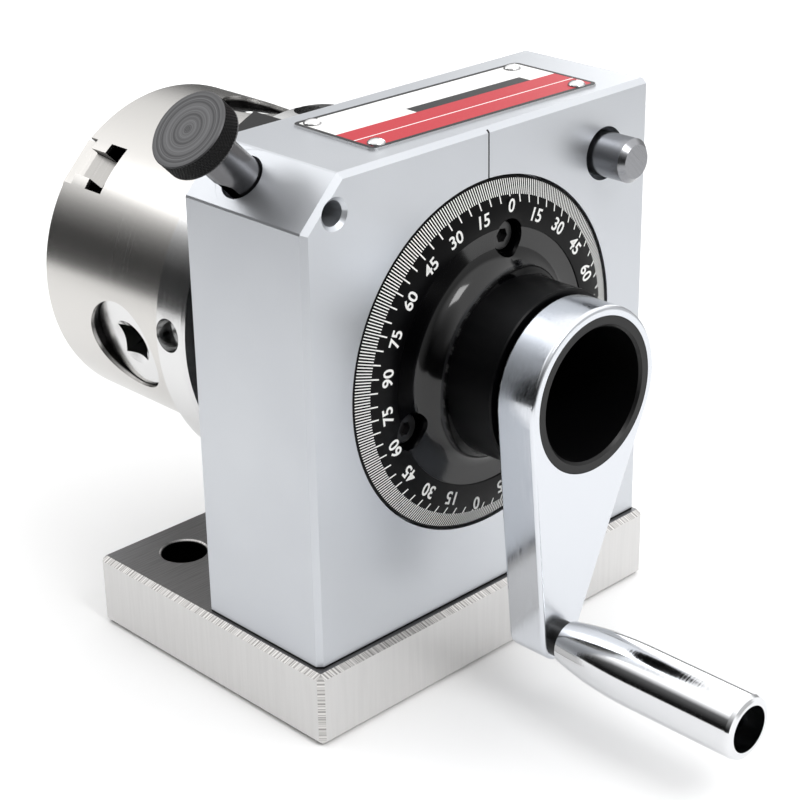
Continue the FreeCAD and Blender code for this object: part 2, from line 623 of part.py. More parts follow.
# Index plunger, drawn out: bush, spring-loaded pin, slotted stem and knob
GUIDE = "(stem_radius + stem_clearance)"
plunger_bush = upright_lathe("plunger_bush", [
    (GUIDE, "bush_start"), ("bush_radius", "bush_start"), ("bush_radius", "plunger_face"),
    (GUIDE + " + guide_mouth", "plunger_face"), (GUIDE + " + guide_mouth", "plunger_face - 1.5"),
    (GUIDE, "plunger_face - 1.5 - guide_mouth"), (GUIDE, "ledge_start + ledge_length"),
    ("rod_radius + stem_clearance", "ledge_start + ledge_length"), ("rod_radius + stem_clearance", "ledge_start"),
    (GUIDE, "ledge_start")])
on_plunger(plunger_bush)
key_seat = sketch(plunger_bush, "key_seat", "YZ_Plane", "-(bush_radius + 1)")
circle(key_seat, "0", "key_start", "key_radius")
pocket(plunger_bush, key_seat, "bush_radius + 1", True)

index_pin = upright_lathe("index_pin", [
    ("0", "pin_start"), ("pin_radius - 0.6", "pin_start"), ("pin_radius", "pin_start + 1.2"),
    ("pin_radius", "collar_start"), ("stem_radius", "collar_start"), ("stem_radius", "collar_start + collar_length"),
    ("rod_radius", "collar_start + collar_length"), ("rod_radius", "knob_start + knob_length - 2"),
    ("0", "knob_start + knob_length - 2")])
on_plunger(index_pin)
plunger_stem = upright_lathe("plunger_stem", [
    ("rod_radius", "stem_start"), ("stem_radius", "stem_start"), ("stem_radius", "knob_start"),
    ("rod_radius", "knob_start")])
on_plunger(plunger_stem)
slot_sketch = sketch(plunger_stem, "slot_sketch", "YZ_Plane", "-stem_radius")
rectangle(slot_sketch, "-stem_slot / 2", "stem_slot / 2", "stem_start", "slot_top - stem_slot / 2")
pocket(plunger_stem, slot_sketch, "stem_radius - rod_radius - 0.1", True)
slot_round = sketch(plunger_stem, "slot_round", "YZ_Plane", "-stem_radius")
circle(slot_round, "0", "slot_top - stem_slot / 2", "stem_slot / 2")
pocket(plunger_stem, slot_round, "stem_radius - rod_radius - 0.1", True)
plunger_key = new_body("plunger_key")
on_plunger(plunger_key)
key_round = sketch(plunger_key, "key_round", "YZ_Plane", "0.4 - bush_radius")
circle(key_round, "0", "key_start", "key_radius")
pad(plunger_key, key_round, "bush_radius - rod_radius - 1")
plunger_knob = upright_lathe("plunger_knob", [
    ("rod_radius", "knob_start"), ("knob_radius - knob_edge", "knob_start"), ("knob_radius", "knob_start + knob_edge"),
    ("knob_radius", "knob_start + knob_length - knob_edge"), ("knob_radius - knob_edge", "knob_start + knob_length"),
    ("0", "knob_start + knob_length"), ("0", "knob_start + knob_length - 2"),
    ("rod_radius", "knob_start + knob_length - 2")])
on_plunger(plunger_knob)

plunger_spring = doc.addObject("Part::Feature", "plunger_spring")
plunger_spring.Label = "plunger_spring"
coil = 3.5
wire = 0.9
spring_foot = number("collar_start + collar_length") + wire / 2
spring_height = number("ledge_start") - spring_foot - wire / 2 - 0.1
helix = Part.makeHelix(spring_height / 2.5, spring_height, coil)
helix.translate(V(0, 0, spring_foot))
section = Part.makePolygon([V(coil + sx * wire / 2, 0, spring_foot + sz * wire / 2)
                            for sx, sz in ((-1, -1), (1, -1), (1, 1), (-1, 1), (-1, -1))])
spring = Part.Wire(helix.Edges).makePipeShell([section], True, True)
plunger_spring.Shape = spring
on_plunger(plunger_spring)

# Clamping screw that holds the bush
plunger_set_screw = new_body("plunger_set_screw")
place(plunger_set_screw, CLAMP_ACROSS, FRONT, AXIS + " + " + CLAMP_UP)
BUSH_NEAR = "(plunger_back - bush_radius)"
clamp_profile = sketch(plunger_set_screw, "clamp_profile", "XY_Plane")
polygon(clamp_profile, [("0", BUSH_NEAR + " - 11"), ("clamp_radius - 0.4", BUSH_NEAR + " - 11"),
                        ("clamp_radius", BUSH_NEAR + " - 10.6"), ("clamp_radius", BUSH_NEAR + " - 0.8"),
                        ("clamp_tip", BUSH_NEAR), ("0", BUSH_NEAR)])
revolve(plunger_set_screw, clamp_profile)
clamp_socket = sketch(plunger_set_screw, "clamp_socket", "XZ_Plane", "11 - " + BUSH_NEAR)
hexagon(clamp_socket, "0", "0", "3")
pocket(plunger_set_screw, clamp_socket, "3")

# Spindle: hollow, with a rear flange and spigot for the chuck adapter
spindle = lathe("spindle", [
    ("spindle_bore + bore_lip", "-" + ARM_FRONT), ("shaft_radius - 0.2", "-" + ARM_FRONT),
    ("shaft_radius", "0.2 - " + ARM_FRONT), ("shaft_radius", DIAL_BACK), ("seat_radius", DIAL_BACK),
    ("seat_radius", WASHER_BACK), ("flange_radius - 0.5", WASHER_BACK), ("flange_radius", WASHER_BACK + " + 0.5"),
    ("flange_radius", "flange_back"), ("spigot_radius", "flange_back"),
    ("spigot_radius", "flange_back + spigot_length - 0.5"),
    ("spigot_radius - 0.5", "flange_back + spigot_length"),
    ("spindle_bore", "flange_back + spigot_length"), ("spindle_bore", "bore_lip - " + ARM_FRONT)], "chuck_turn")
nose_holes = sketch(spindle, "nose_holes", "XZ_Plane", "-" + WASHER_BACK)
circle(nose_holes, "0", "nose_circle", "bolt_shank")
nose_cut = pocket(spindle, nose_holes, "flange_back - " + WASHER_BACK)
round_spindle(spindle, nose_cut, "3")
nose_sinks = sketch(spindle, "nose_sinks", "XZ_Plane", "-" + WASHER_BACK)
circle(nose_sinks, "0", "nose_circle", "bolt_head + 0.2")
nose_sink = pocket(spindle, nose_sinks, "bolt_head_length + 0.4")
round_spindle(spindle, nose_sink, "3")

# Index ring: journal of the spindle, one radial hole for each position
index_ring = lathe("index_ring", [("seat_radius", DIAL_BACK), ("ring_outer - 0.5", DIAL_BACK),
                                  ("ring_outer", DIAL_BACK + " + 0.5"), ("ring_outer", "block_depth - 0.8"),
                                  ("ring_outer - 0.3", "block_depth - 0.5"),
                                  ("seat_radius", "block_depth - 0.5")], "dial_turn")
HOLE_TURN = "(plunger_angle - dial_turn)"
index_hole = sketch(index_ring, "index_hole", "XY_Plane", "ring_outer + 1", HOLE_TURN)
circle(index_hole, "0", "plunger_back", "pin_radius + stem_clearance")
index_cut = pocket(index_ring, index_hole, "ring_hole_depth + 1")
round_spindle(index_ring, index_cut, "ring_holes")
ring_taps = sketch(index_ring, "ring_taps", "XZ_Plane", "-" + DIAL_BACK)
circle(ring_taps, "0", "dial_screw_circle", "dial_screw_shank")
ring_tap = pocket(index_ring, ring_taps, "9")
round_spindle(index_ring, ring_tap, "3")

# Dial: recessed scale disc with a cone and a hub in front
dial = lathe("dial", [
    ("shaft_radius", "-hub_front"), ("hub_radius - 0.3", "-hub_front"), ("hub_radius", "0.3 - hub_front"),
    ("hub_radius", "-hub_foot"), ("cone_radius", "-cone_foot"), ("cone_radius", "dial_step - dial_proud"),
    ("scale_inner", "dial_step - dial_proud"), ("scale_inner", "-dial_proud"),
    ("dial_radius - 0.4", "-dial_proud"), ("dial_radius", "0.4 - dial_proud"),
    ("dial_radius", DIAL_BACK), ("shaft_radius", DIAL_BACK)], "dial_turn")
dial_sinks = sketch(dial, "dial_sinks", "XZ_Plane", "dial_proud")
circle(dial_sinks, "0", "dial_screw_circle", "dial_counterbore")
dial_sink = pocket(dial, dial_sinks, "dial_screw_sunk")
round_spindle(dial, dial_sink, "3")
dial_holes = sketch(dial, "dial_holes", "XZ_Plane", "dial_proud")
circle(dial_holes, "0", "dial_screw_circle", "dial_screw_shank")
dial_hole = pocket(dial, dial_holes, "dial_proud + recess_depth")
round_spindle(dial, dial_hole, "3")
dial_screw = cap_screw("dial_screw", "dial_screw_shank", "dial_screw_head", "3", "9", "3")
dial_screws = group("dial_screws", dial_screw,
                    [spot_on_circle(number("dial_screw_circle"), angle, number("dial_screw_sunk - dial_proud"))
                     for angle in thirds(0)])
on_spindle(dial_screws, "dial_turn")

# Crank arm: a tapered link between two round ends
crank_arm = new_body("crank_arm")
on_spindle(crank_arm, "dial_turn")
arm = sketch(crank_arm, "arm_outline", "XZ_Plane", "arm_back")
big = number("arm_hub_radius")
small = number("arm_end_radius")
reach = number("arm_reach")
lean = math.asin((big - small) / reach)
right_big = V(big * math.cos(lean), -big * math.sin(lean), 0)
left_big = V(-right_big.x, right_big.y, 0)
right_small = V(small * math.cos(lean), -reach - small * math.sin(lean), 0)
left_small = V(-right_small.x, right_small.y, 0)
arm.addGeometry(Part.Arc(right_big, V(0, big, 0), left_big), False)
arm.addGeometry(Part.LineSegment(left_big, left_small), False)
arm.addGeometry(Part.Arc(left_small, V(0, -reach - small, 0), right_small), False)
arm.addGeometry(Part.LineSegment(right_small, right_big), False)
for side in range(4):
    arm.addConstraint(Sketcher.Constraint("Tangent", side, 2, (side + 1) % 4, 1))
pin_point(arm, 0, 3, "0", "0")
pin_point(arm, 2, 3, "0", "-arm_reach")
for index, alias in ((0, "arm_hub_radius"), (2, "arm_end_radius")):
    size = arm.addConstraint(Sketcher.Constraint("Radius", index, number(alias)))
    arm.setExpression("Constraints[%d]" % size, bound(alias))
arm_pad = pad(crank_arm, arm, "arm_thickness")
ease(crank_arm, arm_pad, "Fillet", "arm_edge", lambda edge: edge.BoundBox.YLength < 0.01)
arm_bore = sketch(crank_arm, "arm_bore", "XZ_Plane", ARM_FRONT)
circle(arm_bore, "0", "0", "shaft_radius")
circle(arm_bore, "0", "-arm_reach", "axle_radius")
pocket(crank_arm, arm_bore, "arm_thickness")

# Handle: a grip that spins on its axle
HANDLE_TURN = "(dial_turn + 180)"
HANDLE_ACROSS = "arm_reach * sin(%s)" % HANDLE_TURN
HANDLE_UP = "arm_reach * cos(%s)" % HANDLE_TURN
GRIP_END = "(%s + grip_length)" % GRIP_START
MOUTH_FLOOR = "(%s + grip_length - grip_mouth_depth)" % GRIP_START
handle_axle = new_body("handle_axle")
place(handle_axle, HANDLE_ACROSS, FRONT, AXIS + " + " + HANDLE_UP)
axle_profile = sketch(handle_axle, "axle_profile", "XY_Plane")
polygon(axle_profile, [("0", "-arm_back"), ("axle_radius", "-arm_back"), ("axle_radius", "-" + ARM_FRONT),
                       ("neck_radius", "-" + ARM_FRONT), ("neck_radius", "0.1 - " + GRIP_START),
                       ("axle_radius", "0.1 - " + GRIP_START), ("axle_radius", "-0.1 - " + MOUTH_FLOOR),
                       ("axle_head_radius", "-0.1 - " + MOUTH_FLOOR),
                       ("axle_head_radius", "-0.1 - axle_head_length - " + MOUTH_FLOOR),
                       ("0", "-0.1 - axle_head_length - " + MOUTH_FLOOR)])
revolve(handle_axle, axle_profile)
axle_key = sketch(handle_axle, "axle_key", "XZ_Plane", "0.1 + axle_head_length + " + MOUTH_FLOOR)
hexagon(axle_key, "0", "0", "4")
pocket(handle_axle, axle_key, "axle_head_length * 0.6")

handle_grip = new_body("handle_grip")
place(handle_grip, HANDLE_ACROSS, FRONT, AXIS + " + " + HANDLE_UP)
grip = sketch(handle_grip, "grip_profile", "XY_Plane")
swell = number("grip_radius - grip_start_radius")
swell_length = number("grip_swell")
swell_radius = (swell_length * swell_length + swell * swell) / 2 / swell
start = number(GRIP_START)
wide = number("grip_radius")
lean = math.asin(swell_length / swell_radius) / 2
middle = V(wide - swell_radius * (1 - math.cos(lean)), -start - swell_length + swell_radius * math.sin(lean), 0)
grip_corners = [("axle_radius + axle_clearance", "-" + GRIP_START), ("grip_start_radius", "-" + GRIP_START),
                ("grip_radius", "-grip_swell - " + GRIP_START), ("grip_radius", "1.2 - " + GRIP_END),
                ("grip_radius - 0.35", "0.35 - " + GRIP_END), ("grip_radius - 1.2", "-" + GRIP_END),
                ("grip_mouth_radius", "-" + GRIP_END), ("grip_mouth_radius", "-" + MOUTH_FLOOR),
                ("axle_radius + axle_clearance", "-" + MOUTH_FLOOR)]
spots = [V(number(a), number(b), 0) for a, b in grip_corners]
for i in range(len(spots)):
    if i == 1:
        grip.addGeometry(Part.Arc(spots[2], middle, spots[1]), False)
    else:
        grip.addGeometry(Part.LineSegment(spots[i], spots[(i + 1) % len(spots)]), False)
# The arc is drawn anticlockwise, so it starts at the wide end
arc_start = 2
arc_end = 1
for i in range(len(spots)):
    leaving = arc_end if i == 1 else 2
    arriving = arc_start if i + 1 == 1 else 1
    grip.addConstraint(Sketcher.Constraint("Coincident", i, leaving, (i + 1) % len(spots), arriving))
for i in range(len(spots)):
    pin_point(grip, i, arc_start if i == 1 else 1, grip_corners[i][0], grip_corners[i][1])
level = grip.addConstraint(Sketcher.Constraint("DistanceY", -1, 1, 1, 3, number("-grip_swell - " + GRIP_START)))
grip.setExpression("Constraints[%d]" % level, bound("-grip_swell - " + GRIP_START))
revolve(handle_grip, grip)

# Chuck adapter: thick steel ring with four centring screws bearing on the spigot
chuck_adapter = lathe("chuck_adapter", [
    ("spigot_radius", "flange_back"), ("adapter_radius - adapter_edge", "flange_back"),
    ("adapter_radius", "flange_back + adapter_edge"), ("adapter_radius", ADAPTER_BACK + " - adapter_edge"),
    ("adapter_radius - adapter_edge", ADAPTER_BACK), ("spindle_bore + 1", ADAPTER_BACK),
    ("spindle_bore + 1", "flange_back + spigot_length + 0.3"), ("spigot_radius", "flange_back + spigot_length + 0.3")],
    "chuck_turn")
RIM = "(adapter_radius - centring_sunk)"
centring = sketch(chuck_adapter, "centring_holes", "XY_Plane", "adapter_radius + 1", "centring_turn")
circle(centring, "0", "flange_back + centring_back", "centring_mouth")
centring_cut = pocket(chuck_adapter, centring, "1 + centring_sunk")
round_spindle(chuck_adapter, centring_cut, "4")
threads = sketch(chuck_adapter, "centring_threads", "XY_Plane", "adapter_radius", "centring_turn")
circle(threads, "0", "flange_back + centring_back", "centring_screw")
thread_cut = pocket(chuck_adapter, threads, "adapter_radius - spigot_radius + 1")
round_spindle(chuck_adapter, thread_cut, "4")
nose_taps = sketch(chuck_adapter, "nose_taps", "XZ_Plane", "-flange_back")
circle(nose_taps, "0", "nose_circle", "bolt_shank")
nose_tap = pocket(chuck_adapter, nose_taps, "8")
round_spindle(chuck_adapter, nose_tap, "3")
bolt_holes = sketch(chuck_adapter, "bolt_holes", "XZ_Plane", "-flange_back")
circle(bolt_holes, "bolt_circle * sin(bolt_turn)", "bolt_circle * cos(bolt_turn)", "bolt_shank")
bolt_hole = pocket(chuck_adapter, bolt_holes, "adapter_thickness")
round_spindle(chuck_adapter, bolt_hole, "3")
bolt_sinks = sketch(chuck_adapter, "bolt_sinks", "XZ_Plane", "-flange_back")
circle(bolt_sinks, "bolt_circle * sin(bolt_turn)", "bolt_circle * cos(bolt_turn)", "bolt_head + 0.2")
bolt_sink = pocket(chuck_adapter, bolt_sinks, "bolt_head_length + 0.3")
round_spindle(chuck_adapter, bolt_sink, "3")

# Block on the adapter rim, with one screw
RIM_MIDDLE = "(flange_back + adapter_thickness / 2)"
rim_block = new_body("rim_block")
on_spindle(rim_block, "chuck_turn + rim_block_turn")
block_side = sketch(rim_block, "block_side", "XZ_Plane", "-flange_back")
rectangle(block_side, "-rim_block_width / 2", "rim_block_width / 2", "spigot_radius", "rim_block_top")
pad(rim_block, block_side, "adapter_thickness", True)
block_seat = sketch(rim_block, "block_seat", "XZ_Plane", "-flange_back")
circle(block_seat, "0", "0", "adapter_radius")
pocket(rim_block, block_seat, "adapter_thickness")
block_hole = sketch(rim_block, "block_hole", "XY_Plane", "rim_block_top")
circle(block_hole, "0", RIM_MIDDLE, "rim_screw_head")
pocket(rim_block, block_hole, "rim_screw_sunk")
block_pass = sketch(rim_block, "block_pass", "XY_Plane", "rim_block_top")
circle(block_pass, "0", RIM_MIDDLE, "rim_screw_shank")
pocket(rim_block, block_pass, "rim_block_top - adapter_radius + 1")
rim_screw = upright_lathe("rim_screw", [
    ("0", "adapter_radius - rim_screw_grip"), ("rim_screw_shank", "adapter_radius - rim_screw_grip"),
    ("rim_screw_shank", "rim_block_top - rim_screw_sunk"), ("rim_screw_head", "rim_block_top - rim_screw_sunk"),
    ("rim_screw_head", "rim_block_top - 0.2"), ("0", "rim_block_top - 0.2")])
place(rim_screw, "0", FRONT + " + " + RIM_MIDDLE, AXIS, V(0, 1, 0), "chuck_turn + rim_block_turn")
rim_key = sketch(rim_screw, "rim_key", "XY_Plane", "rim_block_top - 0.2")
hexagon(rim_key, "0", "0", "2")
pocket(rim_screw, rim_key, "0.8")
rim_screw_tap = sketch(chuck_adapter, "rim_screw_tap", "XY_Plane", "adapter_radius + 1", "rim_block_turn")
circle(rim_screw_tap, "0", RIM_MIDDLE, "rim_screw_shank")
pocket(chuck_adapter, rim_screw_tap, "rim_screw_grip + 1.3")

nose_screw = cap_screw("nose_screw", "bolt_shank", "bolt_head", "bolt_head_length",
                       "flange_back - %s - bolt_head_length - 0.4 + 7.5" % WASHER_BACK, "3")
nose_screws = group("nose_screws", nose_screw,
                    [spot_on_circle(number("nose_circle"), angle, number(WASHER_BACK + " + bolt_head_length + 0.4"))
                     for angle in thirds(0)])
on_spindle(nose_screws, "chuck_turn")
chuck_bolt = cap_screw("chuck_bolt", "bolt_shank", "bolt_head", "bolt_head_length",
                       "adapter_thickness - bolt_head_length - 0.3 + cover_flange + 7.5", "3")
chuck_bolts = group("chuck_bolts", chuck_bolt,
                    [spot_on_circle(number("bolt_circle"), angle, number("flange_back + bolt_head_length + 0.3"))
                     for angle in thirds(number("bolt_turn"))])
on_spindle(chuck_bolts, "chuck_turn")
centring_screw = upright_lathe("centring_grub", [
    ("0", "spigot_radius"), ("centring_screw - 0.5", "spigot_radius"), ("centring_screw", "spigot_radius + 0.5"),
    ("centring_screw", RIM + " - 0.3"), ("centring_screw - 0.3", RIM), ("0", RIM)])
grub_key = sketch(centring_screw, "grub_key", "XY_Plane", RIM)
hexagon(grub_key, "0", "0", "3")
pocket(centring_screw, grub_key, "3")
centring_spots = []
for k in range(4):
    centring_spots.append(FreeCAD.Placement(V(0, number("flange_back + centring_back"), 0),
                                            FreeCAD.Rotation(V(0, 1, 0), number("centring_turn") + 90 * k)))
centring_screws = group("centring_screws", centring_screw, centring_spots)
on_spindle(centring_screws, "chuck_turn")

# Chuck body: jaw slots on its face, scroll chamber behind them, three pinion seats in its rim
chuck_body = lathe("chuck_body", [
    ("chuck_bore", ADAPTER_BACK), ("core_radius", ADAPTER_BACK), ("core_radius", SLOT_FLOOR),
    ("cavity_radius", SLOT_FLOOR), ("cavity_radius", ADAPTER_BACK + " + cover_flange"),
    ("cover_radius", ADAPTER_BACK + " + cover_flange"), ("cover_radius", ADAPTER_BACK),
    ("chuck_radius - chuck_edge", ADAPTER_BACK), ("chuck_radius", ADAPTER_BACK + " + chuck_edge"),
    ("chuck_radius", CHUCK_FACE + " - chuck_edge"), ("chuck_radius - chuck_edge", CHUCK_FACE),
    ("chuck_bore + 0.6", CHUCK_FACE), ("chuck_bore", CHUCK_FACE + " - 0.6")], "chuck_turn")


LIP_END = CHUCK_FACE + " - slot_lip"
RIB_END = CHUCK_FACE + " - slot_lip - rib_height"
slot = sketch(chuck_body, "jaw_slot", "XY_Plane", "chuck_radius + 1", "jaw_turn")
slot_side = [("slot_width / 2", CHUCK_FACE + " + 1"), ("slot_width / 2", LIP_END), ("slot_neck / 2", LIP_END),
             ("slot_neck / 2", RIB_END), ("slot_width / 2", RIB_END), ("slot_width / 2", SLOT_FLOOR)]
polygon(slot, slot_side + [("-" + across, back) for across, back in reversed(slot_side)])
slot_cut = pocket(chuck_body, slot, "chuck_radius + 1")
round_spindle(chuck_body, slot_cut, "3")
FIT = "pinion_clearance"
head_seat = sketch(chuck_body, "pinion_seat_hole", "XY_Plane", "chuck_radius + 1", "0")
circle(head_seat, "0", PINION_AXIS, "pinion_radius + " + FIT)
head_cut = pocket(chuck_body, head_seat, "chuck_radius + 1 - pinion_seat")
round_spindle(chuck_body, head_cut, "3")
WAIST = "((cavity_radius + 1) * bevel_slope)"
waist_hole = sketch(chuck_body, "pinion_waist_hole", "XY_Plane", "pinion_seat + 1", "0")
circle(waist_hole, "0", PINION_AXIS, WAIST + " + 0.2")
waist_cut = pocket(chuck_body, waist_hole, "pinion_seat + 1 - bevel_inner")
round_spindle(chuck_body, waist_cut, "3")
tail_hole = sketch(chuck_body, "pinion_tail_hole", "XY_Plane", "core_radius + 1", "0")
circle(tail_hole, "0", PINION_AXIS, "pinion_tail + " + FIT)
tail_cut = pocket(chuck_body, tail_hole, "core_radius + 1.1 - tail_end")
round_spindle(chuck_body, tail_cut, "3")
SHOULDER = "(flange_back + adapter_thickness + cover_flange)"
bolt_taps = sketch(chuck_body, "bolt_taps", "XZ_Plane", "-" + SHOULDER)
circle(bolt_taps, "bolt_circle * sin(bolt_turn)", "bolt_circle * cos(bolt_turn)", "bolt_shank")
bolt_tap = pocket(chuck_body, bolt_taps, "8")
round_spindle(chuck_body, bolt_tap, "3")
cover_taps = sketch(chuck_body, "cover_taps", "XZ_Plane", "-" + SHOULDER)
circle(cover_taps, "bolt_circle * sin(cover_screw_turn)", "bolt_circle * cos(cover_screw_turn)", "cover_screw_shank")
cover_tap = pocket(chuck_body, cover_taps, "6")
round_spindle(chuck_body, cover_tap, "3")
KEEPER_END = "(%s - pinion_radius + keeper_reach)" % PINION_AXIS
keeper_holes = sketch(chuck_body, "keeper_holes", "XZ_Plane", "-" + SHOULDER)
circle(keeper_holes, "0", "keeper_height", "keeper_radius")
keeper_hole = pocket(chuck_body, keeper_holes, "%s - %s" % (KEEPER_END, SHOULDER))
round_spindle(chuck_body, keeper_hole, "3")

# Back cover that closes the scroll chamber
chuck_cover = lathe("chuck_cover", [
    ("core_radius + 0.1", ADAPTER_BACK), ("cover_radius", ADAPTER_BACK), ("cover_radius", SHOULDER),
    ("cavity_radius", SHOULDER), ("cavity_radius", SHOULDER + " + cover_plug"),
    ("core_radius + 0.1", SHOULDER + " + cover_plug")], "chuck_turn")
cover_holes = sketch(chuck_cover, "cover_bolt_holes", "XZ_Plane", "-" + ADAPTER_BACK)
circle(cover_holes, "bolt_circle * sin(bolt_turn)", "bolt_circle * cos(bolt_turn)", "bolt_shank")
cover_hole = pocket(chuck_cover, cover_holes, "cover_flange + cover_plug")
round_spindle(chuck_cover, cover_hole, "3")
cover_sinks = sketch(chuck_cover, "cover_screw_sinks", "XZ_Plane", "-" + ADAPTER_BACK)
circle(cover_sinks, "bolt_circle * sin(cover_screw_turn)", "bolt_circle * cos(cover_screw_turn)", "cover_screw_head")
cover_sink = pocket(chuck_cover, cover_sinks, "cover_screw_sunk")
round_spindle(chuck_cover, cover_sink, "3")
cover_passes = sketch(chuck_cover, "cover_screw_holes", "XZ_Plane", "-" + ADAPTER_BACK)
circle(cover_passes, "bolt_circle * sin(cover_screw_turn)", "bolt_circle * cos(cover_screw_turn)", "cover_screw_shank")
cover_pass = pocket(chuck_cover, cover_passes, "cover_flange + 0.01")
round_spindle(chuck_cover, cover_pass, "3")
cover_screw = cap_screw("cover_screw", "cover_screw_shank", "cover_screw_head", "cover_screw_sunk",
                        "cover_flange + 2.5", "2.5")
cover_screws = group("cover_screws", cover_screw,
                     [spot_on_circle(number("bolt_circle"), angle, number(ADAPTER_BACK + " + cover_screw_sunk"))
                      for angle in thirds(number("cover_screw_turn"))])
on_spindle(cover_screws, "chuck_turn")
keeper = upright_lathe("keeper", [("0", "0"), ("keeper_radius", "0"),
                                  ("keeper_radius", "%s - %s" % (KEEPER_END, SHOULDER)),
                                  ("0", "%s - %s" % (KEEPER_END, SHOULDER))])
pinion_keepers = group("pinion_keepers", keeper,
                       [spot_on_circle(number("keeper_height"), angle, number(SHOULDER)) for angle in thirds(0)])
on_spindle(pinion_keepers, "chuck_turn")

# Scroll: a disc with a true spiral ridge in front and a bevel face behind
RIDGE_TOP = "(%s - scroll_gap)" % SLOT_FLOOR
RIDGE_FOOT = "(%s - scroll_gap - scroll_tooth)" % SLOT_FLOOR
SCROLL_RIM = "(cavity_radius - 0.3)"
BEVEL_BACK = "(%s + bevel_gap + %s * bevel_slope)"
scroll_disc = lathe("scroll_disc", [
    ("core_radius + 0.08", BEVEL_BACK % (PINION_AXIS, "bevel_inner")),
    ("bevel_inner", BEVEL_BACK % (PINION_AXIS, "bevel_inner")), (SCROLL_RIM, BEVEL_BACK % (PINION_AXIS, SCROLL_RIM)),
    (SCROLL_RIM, RIDGE_FOOT), ("core_radius + 0.08", RIDGE_FOOT)])
scroll_disc.Placement = FreeCAD.Placement()
for path in (".Placement.Base.x", ".Placement.Base.y", ".Placement.Base.z", ".Placement.Rotation.Angle"):
    scroll_disc.setExpression(path, None)


def spiral_edge(shift, turns, pitch, start, depth):
    """One side of the ridge as quarter-turn arcs: the radius grows by one pitch in every turn."""
    def spot(quarter):
        radius = start + pitch * quarter / 4.0 + shift
        a = math.radians(90.0 * quarter)
        return V(radius * math.sin(a), depth, radius * math.cos(a))
    quarters = int(round(turns * 4))
    edges = []
    for i in range(quarters):
        edges.append(Part.Arc(spot(i), spot(i + 0.5), spot(i + 1)).toShape())
    return edges, spot(0), spot(quarters)


pitch = number("scroll_pitch")
spiral_start = number("scroll_start")
spiral_turns = (number("scroll_end") - spiral_start) / pitch
# The ridge lies half a pitch from the groove that holds the first jaw's teeth
groove_shift = (number("first_tooth") + pitch / 2 - spiral_start) % pitch
phase = (number("jaw_turn") - groove_shift / pitch * 360.0) % 360.0
half_ridge = number("scroll_ridge") / 2
ridge_foot = number(RIDGE_FOOT)
inner, inner_first, inner_last = spiral_edge(-half_ridge, spiral_turns, pitch, spiral_start, ridge_foot)
outer, outer_first, outer_last = spiral_edge(half_ridge, spiral_turns, pitch, spiral_start, ridge_foot)
tips = [Part.makeLine(inner_last, outer_last), Part.makeLine(outer_first, inner_first)]
loop = Part.Wire(Part.__sortEdges__(inner + outer + tips))
ridge = Part.Face(loop).extrude(V(0, number("scroll_tooth"), 0))
ridge.rotate(V(0, 0, 0), V(0, 1, 0), phase)
doc.recompute()
scroll = doc.addObject("Part::Feature", "scroll")
scroll.Label = "scroll"
scroll.Shape = scroll_disc.Shape.fuse(ridge).removeSplitter()
on_spindle(scroll, "chuck_turn")


